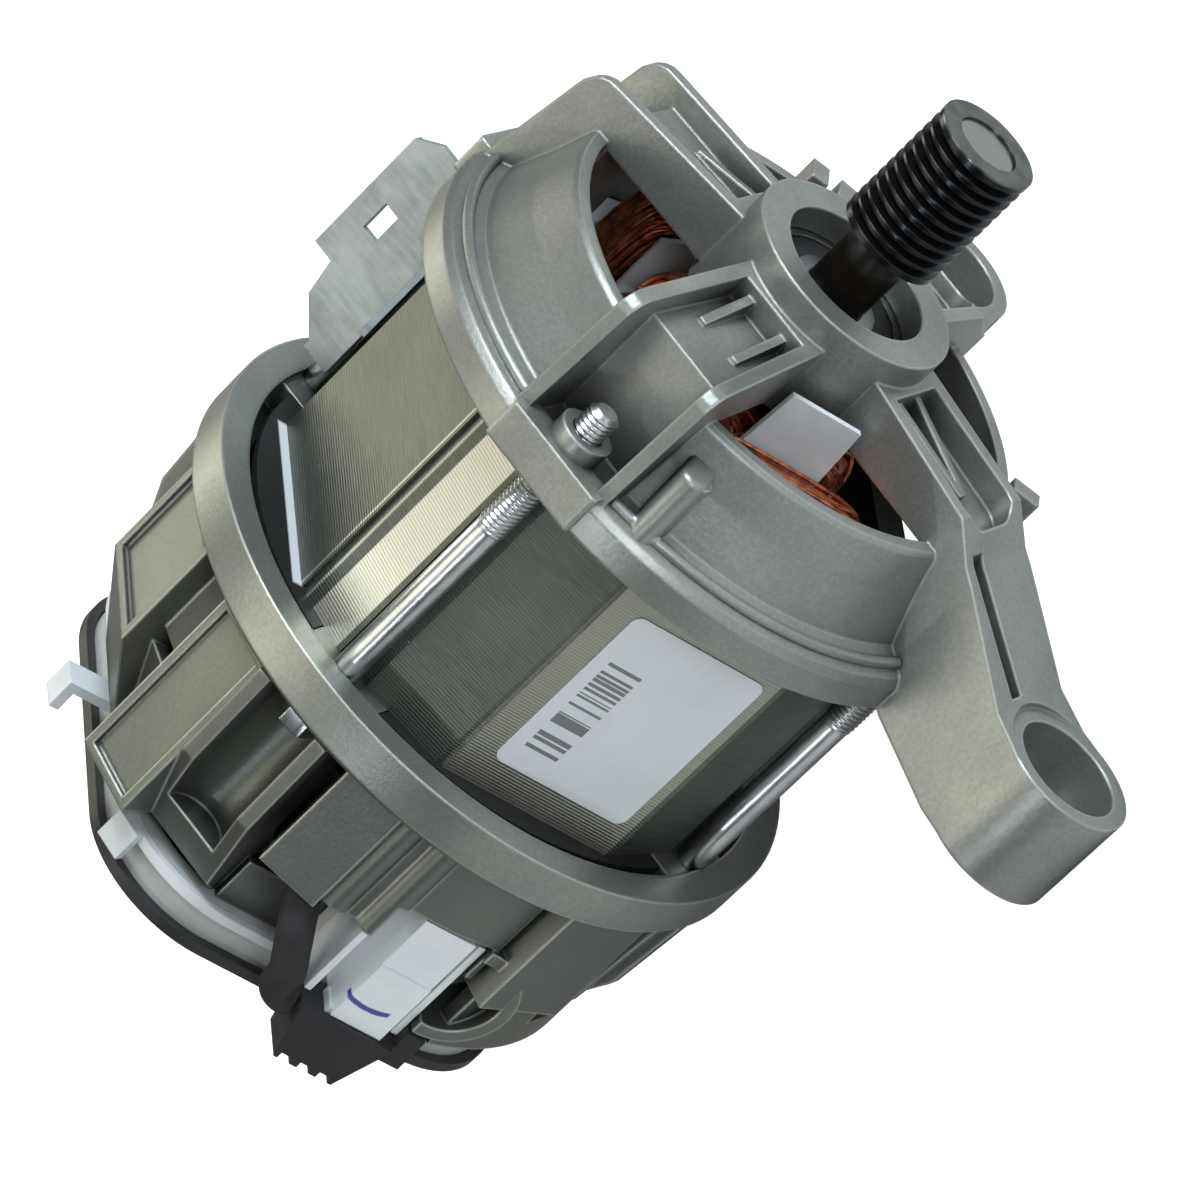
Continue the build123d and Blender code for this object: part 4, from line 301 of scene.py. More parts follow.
@dataclass(frozen=True)
class HollowShadeAndDust:
    """Colour deep in corners by the blocked share of the space within reach: painted shade on
    metal and copper, dust on plastic.
    """

    reach: float
    span: Span
    share: float
    colour: Colour

    def mask(self, g: Graph) -> Sock:
        """One where the colour is full."""
        return g.hollow(self.reach, self.span)

    def over(self, g: Graph, skin: Sock) -> Sock:
        """Lay the colour over a skin."""
        return g.mix(self.mask(g) * self.share, skin, self.colour)


class Finish:
    """A finish of the motor, painted on a fresh node tree."""

    def material(self, name: str) -> bpy.types.Material:
        """Make the material.

        Args:
            name: Name of the material.

        Returns:
            The painted material.
        """
        material = bpy.data.materials.new(name)
        self.paint(Graph(material, "BSDF_PRINCIPLED", "Object"))
        return material

    def paint(self, g: Graph) -> None:
        """Feed the surface of a node tree."""
        raise NotImplementedError


@dataclass(frozen=True)
class CastMetal(Finish):
    """Die cast aluminium: grainy skin, painted highlights on the edges, painted shade deep in the
    corners.

    The part of the rear shield behind its ring has a duller skin of painted shade, laid on by a
    share of its own.
    """

    light: Colour = (0.42, 0.425, 0.385)
    dark: Colour = (0.29, 0.30, 0.285)
    # Share of the painted highlight on the edges.
    edge_highlight_share: float = 0.55
    # Painted shade on the rear shield behind its ring: its share, where it starts along X, and
    # its colour.
    rear_shade_share: float = 0.0
    behind: Span = (-81.0 * MM, -79.0 * MM)
    dull: Colour = (0.11, 0.12, 0.10)
    round_edge: float = 0.9 * MM
    # Colour of the painted highlight on the edges.
    edge_highlight: Colour = (0.74, 0.75, 0.69)
    grain: Blotch = Blotch(0.8 * MM, 4.0)
    grain_depth: float = 0.05 * MM
    grain_range: Span = (0.30, 0.70)
    pit: Colour = (0.10, 0.105, 0.10)
    pit_share: float = 0.20
    flow: Blotch = Blotch(17.0 * MM, 3.0)
    wide: Blotch = Blotch(45.0 * MM, 2.0)
    flow_share: float = 0.6
    tone_range: Span = (0.30, 0.92)
    # Painted shade deep in corners and recesses.
    hollow_shade: HollowShadeAndDust = HollowShadeAndDust(9.0 * MM, (0.22, 0.90), 0.85, (0.020, 0.021, 0.019))
    metallic: float = 0.75
    rough: float = 0.42
    rough_by_tone: float = -0.06
    rough_in_hollows: float = 0.15

    def paint(self, g: Graph) -> None:
        """Mix the cast skin from tone, painted rear shade, pits, painted edge highlights and
        painted corner shade.

        Args:
            g: Node tree of the finish.
        """
        soft = g.soft_normal(self.round_edge)
        grain = g.noise(self.grain)
        hollow_shade = self.hollow_shade.mask(g)
        blotches = (g.noise(self.flow) + g.noise(self.wide)) * self.flow_share
        tone = blotches.ramp(*self.tone_range)
        skin = g.mix(tone, self.dark, self.light)
        # Painted shade behind the ring of the rear shield.
        skin = g.mix(g.axis("X").ramp(*self.behind, self.rear_shade_share, 0.0), skin, self.dull)
        skin = g.mix(grain.ramp(*self.grain_range, self.pit_share, 0.0), skin, self.pit)
        # Painted highlight on the edges.
        skin = g.mix(g.edge(soft) * self.edge_highlight_share, skin, self.edge_highlight)
        # Painted shade in the hollows.
        skin = g.mix(hollow_shade * self.hollow_shade.share, skin, self.hollow_shade.colour)
        rough = tone * self.rough_by_tone + self.rough + hollow_shade * self.rough_in_hollows
        g.set(Base_Color=skin, Metallic=self.metallic, Roughness=rough,
              Normal=g.bump(grain, self.grain_depth, soft))


@dataclass(frozen=True)
class Laminations(Finish):
    """Stack of steel sheets: one fine line per sheet, a dull film, and a pale painted highlight
    in each band.

    The line is the sine of 2 pi x / pitch. A band is two angles phi in degrees and a share.
    """

    pitch: float = 0.65 * MM
    light: Colour = (0.20, 0.213, 0.182)
    dark: Colour = (0.12, 0.129, 0.11)
    # Painted highlight: its pale colour, the angles phi in degrees of each band it lies in with a
    # share, and the softness of their sides.
    pale: Colour = (0.92, 0.90, 0.76)
    highlight_bands: tuple[Triple, ...] = ((50.3, 59.8, 0.95), (62.3, 62.9, 0.6), (65.7, 66.3, 0.6),
                                 (-20.4, 20.4, 0.34))
    highlight_soft: float = 0.3
    streak: Blotch = Blotch(6.0 * MM, 4.0, (0.05, 1.0, 1.0))
    streak_share: float = 0.6
    film: Blotch = Blotch(24.0 * MM, 3.0)
    film_share: float = 0.5
    tone_range: Span = (0.35, 0.80)
    line_range: Span = (0.0, 0.35)
    line_share: Span = (0.16, 0.41)
    line_skin: Colour = (0.06, 0.06, 0.05)
    line_depth: float = 0.05 * MM
    metallic: float = 0.85
    rough: Span = (0.34, 0.46)

    def paint(self, g: Graph) -> None:
        """Mix the skin of the sheets from film, painted highlight and lines.

        Args:
            g: Node tree of the finish.
        """
        line = (g.axis("X") * (FULL_TURN / self.pitch)).maths("SINE") * 0.5 + 0.5
        streak = g.noise(self.streak)
        film = g.noise(self.film)
        tone = (streak * self.streak_share + film * self.film_share).ramp(*self.tone_range)
        turn = (g.axis("Z") - AXIS_Z).maths("ARCTAN2", AXIS_Y - g.axis("Y")).maths("DEGREES")
        # Share of painted highlight, from the angle about the shaft.
        strip = sum(turn.within(start, end, self.highlight_soft) * share
                    for start, end, share in self.highlight_bands)
        lined = line.ramp(*self.line_range, 1.0, 0.0) * strip.between(self.line_share)
        skin = g.mix(strip, g.mix(tone, self.dark, self.light), self.pale)
        g.set(Base_Color=g.mix(lined, skin, self.line_skin), Metallic=self.metallic,
              Roughness=film.between(self.rough), Normal=g.bump(line, self.line_depth))


@dataclass(frozen=True)
class GapSheet(Finish):
    """White insulator sheet, pale near the stack and darkened by painted shade in the deep gap.

    It is pale over the width of the stack's top and bottom flats, up to a short reach past them.
    """

    pale: Colour = (0.66, 0.68, 0.70)
    worn_share: float = 0.86
    # Colour of the painted shade in the gap.
    deep: Colour = (0.010, 0.010, 0.010)
    flat_reach: float = 46.5 * MM
    flat_half: float = 21.0 * MM
    gap_range: Span = (1.7 * MM, 2.2 * MM)
    side_range: Span = (0.0, 1.0 * MM)
    cloud: Blotch = Blotch(9.0 * MM, 3.0)
    grain: Blotch = Blotch(0.5 * MM, 2.0)
    grain_depth: float = 0.02 * MM
    rough: Span = (0.5, 0.6)

    def paint(self, g: Graph) -> None:
        """Mix the pale skin and the painted shade by the place across the stack.

        Args:
            g: Node tree of the finish.
        """
        past = abs(g.axis("Z") - AXIS_Z) - self.flat_reach
        beside = abs(g.axis("Y") - AXIS_Y) - self.flat_half
        # Painted shade where the sheet lies past the flats or beside them.
        gap_shade = past.ramp(*self.gap_range).maths("MAXIMUM", beside.ramp(*self.side_range))
        cloud = g.noise(self.cloud)
        skin = g.mix(cloud, self.pale, tuple(c * self.worn_share for c in self.pale))
        g.set(Base_Color=g.mix(gap_shade, skin, self.deep), Roughness=cloud.between(self.rough),
              Normal=g.bump(g.noise(self.grain), self.grain_depth))


@dataclass(frozen=True)
class DrawnMetal(Finish):
    """Drawn, turned or rolled metal with fine marks along one axis."""

    light: Colour
    dark: Colour
    rough: float
    marks: Blotch = Blotch(0.35 * MM, 3.0, (12.0, 1.0, 1.0))
    metallic: float = 1.0
    mark_share: float = 0.35
    mark_depth: float = 0.02 * MM
    round_edge: float = 0.25 * MM
    cloud: Blotch = Blotch(9.0 * MM, 3.0)
    cloud_share: float = 0.65
    tone_range: Span = (0.3, 0.7)
    # Painted shade deep in corners and recesses.
    hollow_shade: HollowShadeAndDust = HollowShadeAndDust(3.0 * MM, (0.4, 1.0), 0.5, (0.04, 0.04, 0.038))
    rough_by_cloud: float = 0.15

    def paint(self, g: Graph) -> None:
        """Mix the skin from marks, clouds and painted shade in the corners.

        Args:
            g: Node tree of the finish.
        """
        marks = g.noise(self.marks)
        cloud = g.noise(self.cloud)
        tone = (marks * self.mark_share + cloud * self.cloud_share).ramp(*self.tone_range)
        skin = self.hollow_shade.over(g, g.mix(tone, self.dark, self.light))
        g.set(Base_Color=skin, Metallic=self.metallic,
              Roughness=self.rough + cloud * self.rough_by_cloud,
              Normal=g.bump(marks, self.mark_depth, g.soft_normal(self.round_edge)))


@dataclass(frozen=True)
class TintedShaft(Finish):
    """Dark ground shaft with a bronze heat tint between hub and pulley, and a bare end."""

    steel: Colour = (0.035, 0.036, 0.034)
    bronze: Colour = (0.075, 0.055, 0.038)
    tint: Span = (20.0 * MM, 26.0 * MM)
    tint_soft: float = 5.0 * MM
    bare: Colour = (0.32, 0.32, 0.31)
    bare_from: float = 57.0 * MM
    rings: Blotch = Blotch(0.4 * MM, 2.0, (1.0, 40.0, 40.0))
    ring_depth: float = 0.02 * MM
    round_edge: float = 0.3 * MM
    metallic: float = 0.9
    rough: Span = (0.15, 0.29)

    def paint(self, g: Graph) -> None:
        """Mix steel, heat tint and bare end by the place along the shaft.

        Args:
            g: Node tree of the finish.
        """
        x = g.axis("X")
        rings = g.noise(self.rings)
        skin = g.mix(x.within(*self.tint, self.tint_soft), self.steel, self.bronze)
        skin = g.mix(x.above(self.bare_from), skin, self.bare)
        g.set(Base_Color=skin, Metallic=self.metallic, Roughness=rings.between(self.rough),
              Normal=g.bump(rings, self.ring_depth, g.soft_normal(self.round_edge)))


@dataclass(frozen=True)
class BlackPulley(Finish):
    """Blackened steel pulley with painted highlights on the rib crests and a worn grey end face.
    """

    black: Colour = (0.022, 0.023, 0.025)
    # Colour of the painted highlight on the crests.
    crest: Colour = (0.30, 0.31, 0.33)
    crest_highlight_share: float = 0.35
    crest_highlight_range: Span = (0.03, 0.3)
    face: Colour = (0.14, 0.15, 0.14)
    face_from: float = 59.0 * MM
    face_share: Span = (0.5, 1.0)
    worn: Blotch = Blotch(4.0 * MM, 4.0)
    worn_range: Span = (0.35, 0.65)
    marks: Blotch = Blotch(0.5 * MM, 3.0)
    mark_depth: float = 0.02 * MM
    round_edge: float = 0.15 * MM
    metallic: float = 0.85
    rough: Span = (0.16, 0.26)

    def paint(self, g: Graph) -> None:
        """Mix black ribs, painted highlights on the crests and the worn face.

        Args:
            g: Node tree of the finish.
        """
        soft = g.soft_normal(self.round_edge)
        marks = g.noise(self.marks)
        worn = g.noise(self.worn).ramp(*self.worn_range).between(self.face_share)
        # Painted highlight on the rib crests.
        crest = g.edge(soft, self.crest_highlight_range) * self.crest_highlight_share
        skin = g.mix(crest, self.black, self.crest)
        skin = g.mix(g.axis("X").above(self.face_from) * worn, skin, self.face)
        g.set(Base_Color=skin, Metallic=self.metallic, Roughness=marks.between(self.rough),
              Normal=g.bump(marks, self.mark_depth, soft))


@dataclass(frozen=True)
class Moulded(Finish):
    """Moulded plastic or rubber: even colour, faint flow marks, dust in the corners."""

    colour: Colour
    rough: float
    grain: Blotch = Blotch(0.5 * MM, 2.0)
    grain_depth: float = 0.02 * MM
    dust: HollowShadeAndDust = HollowShadeAndDust(4.0 * MM, (0.3, 1.0), 0.2, (0.30, 0.29, 0.27))
    faded: float = 1.18
    faded_lift: float = 0.004
    cloud: Blotch = Blotch(11.0 * MM, 4.0)
    cloud_range: Span = (0.3, 0.7)
    round_edge: float = 0.4 * MM
    rough_by_cloud: float = 0.14

    def skin(self, g: Graph, cloud: Sock) -> Sock:
        """Colour of the skin, from the noise of its flow marks."""
        faded = tuple(min(1.0, c * self.faded + self.faded_lift) for c in self.colour)
        return self.dust.over(g, g.mix(cloud.ramp(*self.cloud_range), self.colour, faded))

    def paint(self, g: Graph) -> None:
        """Lay the skin on, with its grain.

        Args:
            g: Node tree of the finish.
        """
        cloud = g.noise(self.cloud)
        soft = g.soft_normal(self.round_edge)
        g.set(Base_Color=self.skin(g, cloud), Roughness=self.rough + cloud * self.rough_by_cloud,
              Normal=g.bump(g.noise(self.grain), self.grain_depth, soft))


@dataclass(frozen=True)
class PenMarked(Moulded):
    """Moulded plastic with a stroke of blue ink across it.

    The stroke is the set of points within half a width of the arc
    x(u) = x0 + bend (1 - (2u - 1)^2), with u running from 0 to 1 over the stroke's height.
    """

    dust: HollowShadeAndDust = HollowShadeAndDust(4.0 * MM, (0.3, 1.0), 0.45, (0.16, 0.16, 0.15))
    faded: float = 1.12
    faded_lift: float = 0.0
    stroke_x: float = -117.9 * MM
    stroke_bend: float = -0.9 * MM
    stroke_z: Span = (50.6 * MM, 59.6 * MM)
    stroke_half: float = 0.55 * MM
    stroke_soft: float = 0.35 * MM
    stroke_ends: float = 0.03
    stroke_share: float = 0.95
    fuzz: Blotch = Blotch(0.7 * MM, 3.0)
    fuzz_depth: float = 0.35 * MM
    outer_y: float = -56.0 * MM
    ink: Colour = (0.045, 0.035, 0.33)

    def skin(self, g: Graph, cloud: Sock) -> Sock:
        """Colour of the skin with the stroke over it.

        Args:
            g: Node tree of the finish.
            cloud: Noise of the flow marks.

        Returns:
            The socket of the colour.
        """
        low, high = self.stroke_z
        u = (g.axis("Z") - low) * (1.0 / (high - low))
        from_middle = u * 2.0 - 1.0
        hump = 1.0 - from_middle * from_middle
        off = abs(g.axis("X") - (hump * self.stroke_bend + self.stroke_x))
        off = off + g.noise(self.fuzz) * self.fuzz_depth
        line = off.ramp(self.stroke_half, self.stroke_half + self.stroke_soft, 1.0, 0.0)
        ends = self.stroke_ends
        stroke = line * u.within(-ends, 1.0 - ends, 2.0 * ends) * g.axis("Y").below(self.outer_y)
        return g.mix(stroke * self.stroke_share, super().skin(g, cloud), self.ink)


@dataclass(frozen=True)
class EnamelledCopper(Finish):
    """Dark red enamelled wire, brighter where the light runs along a strand."""

    colour: Colour = (0.80, 0.25, 0.10)
    deep: Colour = (0.32, 0.07, 0.03)
    patches: Blotch = Blotch(2.4 * MM, 3.0)
    patch_range: Span = (0.3, 0.7)
    shade: HollowShadeAndDust = HollowShadeAndDust(3.0 * MM, (0.35, 0.95), 0.55, (0.03, 0.008, 0.005))
    fine: Blotch = Blotch(0.4 * MM, 2.0)
    fine_depth: float = 0.015 * MM
    metallic: float = 0.75
    rough: Span = (0.24, 0.36)
    coat: float = 0.5
    coat_rough: float = 0.15

    def paint(self, g: Graph) -> None:
        """Mix the enamel from patches and the shade between strands.

        Args:
            g: Node tree of the finish.
        """
        patches = g.noise(self.patches)
        skin = g.mix(patches.ramp(*self.patch_range), self.deep, self.colour)
        g.set(Base_Color=self.shade.over(g, skin), Metallic=self.metallic,
              Roughness=patches.between(self.rough), Coat_Weight=self.coat,
              Coat_Roughness=self.coat_rough,
              Normal=g.bump(g.noise(self.fine), self.fine_depth))


@dataclass(frozen=True)
class Paper(Finish):
    """Bare white label with a plain block of bars and a rub mark."""

    white: Colour = (0.82, 0.84, 0.86)
    rubbed: Colour = (0.66, 0.68, 0.70)
    ink: Colour = (0.06, 0.06, 0.065)
    block_x: Span = (-62.0 * MM, -36.0 * MM)
    block_z: Span = (AXIS_Z + 3.0 * MM, AXIS_Z + 10.0 * MM)
    bars: Blotch = Blotch(0.9 * MM, 0.0, (1.0, 400.0, 400.0))
    bar_level: float = 0.52
    bar_share: float = 0.8
    rub: Blotch = Blotch(12.0 * MM, 4.0)
    rub_range: Span = (0.45, 0.75)
    rub_share: float = 0.35
    fibres: Blotch = Blotch(0.6 * MM, 3.0)
    fibre_depth: float = 0.01 * MM
    rough: Span = (0.38, 0.48)

    def paint(self, g: Graph) -> None:
        """Mix paper, rub mark and bars.

        Args:
            g: Node tree of the finish.
        """
        x, z = g.axis("X"), g.axis("Z")
        fibres = g.noise(self.fibres)
        bars = g.noise(self.bars).above(self.bar_level) * self.bar_share
        block = (x.above(self.block_x[0]) * x.below(self.block_x[1])
                 * z.above(self.block_z[0]) * z.below(self.block_z[1]))
        rub = g.noise(self.rub).ramp(*self.rub_range) * self.rub_share
        skin = g.mix(bars * block, g.mix(rub, self.white, self.rubbed), self.ink)
        g.set(Base_Color=skin, Roughness=fibres.between(self.rough),
              Normal=g.bump(fibres, self.fibre_depth))


@dataclass(frozen=True)
class Backdrop(Finish):
    """Pale floor that shows white to the camera and keeps a soft shadow."""

    low: Colour = (0.56, 0.56, 0.56)
    high: Colour = (0.60, 0.60, 0.60)
    cloud: Blotch = Blotch(0.4, 2.0)
    unlit: Colour = (0.0, 0.0, 0.0)
    glow: Colour = (0.95, 0.95, 0.95)
    rough: float = 0.9

    def paint(self, g: Graph) -> None:
        """Mix the floor, and let it glow for camera rays alone.

        Args:
            g: Node tree of the finish.
        """
        seen = g.node("ShaderNodeLightPath", {}, "Is Camera Ray")
        g.set(Base_Color=g.mix(g.noise(self.cloud), self.low, self.high), Roughness=self.rough,
              Emission_Color=g.mix(seen, self.unlit, self.glow), Emission_Strength=1.0)


class Dress(Enum):
    """Which finish each slot of the record takes, and the finishes of single nodes."""

    CAST = ("cast_aluminium", CastMetal())
    # Darker copy of the cast aluminium for the rear shield as painted shade, with stronger
    # painted edge highlights and painted shade behind its ring.
    CAST_REAR_SHADED = ("cast_rear_shaded", CastMetal(light=(0.38, 0.39, 0.35), dark=(0.26, 0.27, 0.25),
                                        edge_highlight_share=0.75, rear_shade_share=0.62))
    STACK = ("lamination_steel", Laminations())
    ZINC = ("zinc_steel", DrawnMetal((0.74, 0.76, 0.76), (0.48, 0.50, 0.50), 0.22))
    BRACKET = ("bracket_sheet", DrawnMetal((0.46, 0.50, 0.51), (0.26, 0.29, 0.30), 0.34,
                                           Blotch(1.2 * MM, 3.0, (1.0, 6.0, 6.0)), 0.8))
    BEARING = ("bearing_steel", DrawnMetal((0.36, 0.37, 0.38), (0.22, 0.23, 0.24), 0.20))
    SHAFT = ("shaft_steel", TintedShaft())
    COPPER = ("copper_wire", EnamelledCopper())
    BARS = ("copper_bars", DrawnMetal((0.62, 0.30, 0.17), (0.34, 0.17, 0.10), 0.26))
    BRASS = ("brass_sheet", DrawnMetal((0.70, 0.53, 0.26), (0.50, 0.37, 0.18), 0.26))
    WHITE = ("white_plastic", Moulded((0.66, 0.69, 0.70), 0.42))
    GAP = ("insulator_gap", GapSheet())
    BLACK = ("black_plastic", Moulded((0.018, 0.018, 0.019), 0.38))
    BROWN = ("brown_plastic", Moulded((0.10, 0.055, 0.030), 0.45))
    GREY = ("grey_plastic", Moulded((0.50, 0.51, 0.49), 0.50))
    CONNECTOR = ("connector_plastic", PenMarked((0.88, 0.92, 0.94), 0.42))
    RUBBER = ("black_rubber", Moulded((0.016, 0.016, 0.018), 0.60, Blotch(0.8 * MM, 2.0),
                                      0.05 * MM))
    CARBON = ("carbon", Moulded((0.03, 0.03, 0.033), 0.55))
    PULLEY = ("pulley_black", BlackPulley())
    MAGNET = ("magnet", Moulded((0.06, 0.06, 0.065), 0.5))
    LABEL = ("label_paper", Paper())

    @property
    def slot(self) -> str:
        """Name of the slot."""
        return self.value[0]

    def build(self) -> bpy.types.Material:
        """Make the material of this slot."""
        return self.value[1].material("finish_" + self.slot)


class Wardrobe:
    """Builds every finish once and puts it on the solids of the frame."""

    own_finish = {"earth_bracket": Dress.BRACKET.slot, "rear_insulator": Dress.GAP.slot,
                  "rear_shield": Dress.CAST_REAR_SHADED.slot}

    def __init__(self) -> None:
        """Make one material per slot."""
        self.by_slot = {dress.slot: dress.build() for dress in Dress}

    def dress_solids(self) -> None:
        """Give every solid of the frame the finish of its slot, or its own."""
        slots = {row["node"]: row["material_slot"] for row in frame["record"]["subparts"]}
        for node, thing in frame["nodes"].items():
            thing.data.materials.clear()
            thing.data.materials.append(self.by_slot[self.own_finish.get(node, slots[node])])
            LOG.info("dressed %s", node)


def add_mesh(name: str, shape: Shape, material: bpy.types.Material) -> bpy.types.Object:
    """Make a smooth mesh object at the origin, with poles welded and faces turned outwards.

    Args:
        name: Name of the piece.
        shape: Points in metres, one row each, and corner numbers, one row per face.
        material: Finish of the piece.

    Returns:
        The new object.
    """
    points, faces = shape
    mesh = bpy.data.meshes.new(name)
    mesh.from_pydata(points.tolist(), [], faces.tolist())
    shell = bmesh.new()
    shell.from_mesh(mesh)
    bmesh.ops.remove_doubles(shell, verts=shell.verts, dist=WELD)
    bmesh.ops.recalc_face_normals(shell, faces=shell.faces)
    shell.to_mesh(mesh)
    shell.free()
    mesh.polygons.foreach_set("use_smooth", [True] * len(mesh.polygons))
    mesh.materials.append(material)
    mesh.update()
    thing = bpy.data.objects.new(name, mesh)
    bpy.context.scene.collection.objects.link(thing)
    return thing


def sharp_by_angle(thing: bpy.types.Object, limit: float) -> None:
    """Shade the edges over an angle in degrees as sharp."""
    thing.data.set_sharp_from_angle(angle=math.radians(limit))


def grid_faces(rows: int, cols: int, closed: bool = False) -> np.ndarray:
    """Faces of a grid of points whose columns close up into rings.

    Args:
        rows: Number of rings.
        cols: Points in a ring.
        closed: True where the last ring joins the first.

    Returns:
        Corner numbers, one row per face: (i, j), (i, j + 1), (i + 1, j + 1), (i + 1, j).
    """
    i = np.arange(rows if closed else rows - 1)[:, None]
    j = np.arange(cols)[None, :]
    after = (i + 1) % rows
    turn = (j + 1) % cols
    return np.stack([i * cols + j, i * cols + turn, after * cols + turn, after * cols + j],
                    -1).reshape(-1, 4)


def full_turn(count: int) -> np.ndarray:
    """Angles in radians that share out a full turn."""
    return np.linspace(0.0, FULL_TURN, count, endpoint=False)


def round_shaft(x: Values, radius: Values, angle: Values) -> np.ndarray:
    """Points (x, y0 - r cos phi, z0 + r sin phi) at a radius and an angle about the shaft."""
    return np.stack([x, AXIS_Y - radius * np.cos(angle), AXIS_Z + radius * np.sin(angle)], -1)


def tube_along(path: np.ndarray, radius: float, sides: int, closed: bool) -> Shape:
    """Round tube along a line of points.

    Args:
        path: Points of the line, one row each.
        radius: Radius of the tube.
        sides: Number of sides.
        closed: True where the last point joins the first, else the ends are capped.

    Returns:
        Points and faces. Point (i, j) is path[i] + radius (cos a_j u_i + sin a_j v_i), with u
        and v square to the line at i.
    """
    ahead = np.roll(path, -1, 0) - np.roll(path, 1, 0)
    if not closed:
        ahead[0] = path[1] - path[0]
        ahead[-1] = path[-1] - path[-2]
    ahead /= np.linalg.norm(ahead, axis=1)[:, None]
    pole = np.array([0.13, 0.97, 0.21])
    side = np.cross(ahead, pole)
    side /= np.linalg.norm(side, axis=1)[:, None]
    up = np.cross(side, ahead)
    angle = full_turn(sides)
    ring = (np.cos(angle)[None, :, None] * side[:, None, :]
            + np.sin(angle)[None, :, None] * up[:, None, :])
    points = path[:, None, :] + radius * ring
    if not closed:
        ends = np.repeat(path[[0, -1], None, :], sides, 1)
        points = np.concatenate([ends[:1], points, ends[1:]])
    return points.reshape(-1, 3), grid_faces(len(points), sides, closed)


def joined(shapes: Sequence[Shape]) -> Shape:
    """Several shapes as one, with the corner numbers of each face moved on."""
    starts = np.cumsum([0] + [len(points) for points, _ in shapes])
    return (np.concatenate([points for points, _ in shapes]),
            np.concatenate([faces + start for (_, faces), start in zip(shapes, starts)]))


@dataclass
class FieldCoil:
    """One field coil as a bundle of loose loops round its pole."""

    name: str
    side: float
    seed: int
    front: float = 2.0 * MM
    rear: float = -89.0 * MM
    half: float = 21.5 * MM
    near: float = 27.2 * MM
    far: float = 38.6 * MM
    end_slack: float = 0.75 * MM
    layers: int = 6
    full_layers: int = 3
    columns: int = 11
    layer_step: float = 0.86 * MM
    stagger: float = 0.5
    first_share: float = 0.2
    wire: float = 0.47 * MM
    wire_sides: int = 6
    samples: int = 132
    squareness: float = 0.24
    loose_range: Span = (30.0 * MM, 42.0 * MM)
    loose_lift: float = 0.75 * MM
    loose_shake: float = 0.9 * MM
    waves: int = 5
    wave_scale: tuple[float, ...] = (0.5, 3.0, 0.5, 3.0)

    def loop(self, depth: float, offset: float, wander: np.ndarray) -> np.ndarray:
        """Path of one loop.

        Args:
            depth: How far the loop lies inside the outline.
            offset: Distance of its plane from the shaft.
            wander: Sizes and phases of the waves that shake and lift the loop's ends.

        Returns:
            Points on a rounded rectangle about the pole: x = a c^p, z = b s^p, with c and s
            the cosine and sine of the angle, their signs kept.
        """
        angle = full_turn(self.samples)
        a = (self.front - self.rear) / 2 - self.end_slack - depth
        b = self.half - self.wire - depth
        c, s = np.cos(angle), np.sin(angle)
        x = a * np.sign(c) * np.abs(c) ** self.squareness
        z = b * np.sign(s) * np.abs(s) ** self.squareness
        ends = np.interp(np.abs(x), self.loose_range, (0.0, 1.0))
        shake = sum(row[0] * np.sin(k * angle + row[1]) for k, row in enumerate(wander, 2))
        lift = sum(row[2] * np.sin(k * angle + row[3]) for k, row in enumerate(wander, 2))
        y = offset + lift * ends * self.loose_lift
        x = x - np.sign(x) * np.abs(shake) * ends * self.loose_shake
        middle = (self.front + self.rear) / 2
        return np.stack([middle + x, AXIS_Y + self.side * y, AXIS_Z + z], -1)

    def build(self, wardrobe: Wardrobe) -> None:
        """Wind the loops that show, as one piece in place of the plain coil.

        Args:
            wardrobe: Finishes of the motor.
        """
        rng = np.random.default_rng(self.seed)
        scale = np.array(self.wave_scale)
        loops = []
        for layer in range(self.layers):
            for column in range(self.columns):
                inside = 0 < column < self.columns - 1
                if inside and self.full_layers <= layer < self.layers - 1:
                    continue
                share = (column + self.stagger * (layer % 2) + self.first_share) / self.columns
                offset = self.near + self.wire + share * (self.far - self.near - 2 * self.wire)
                wander = rng.uniform(-1.0, 1.0, (self.waves, len(scale))) * scale
                path = self.loop(layer * self.layer_step, offset, wander)
                loops.append(tube_along(path, self.wire, self.wire_sides, True))
        thing = add_mesh(self.name + "_wires", joined(loops), wardrobe.by_slot["copper_wire"])
        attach(thing, "motor")
        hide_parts(self.name)
        LOG.info("wound %s", self.name)


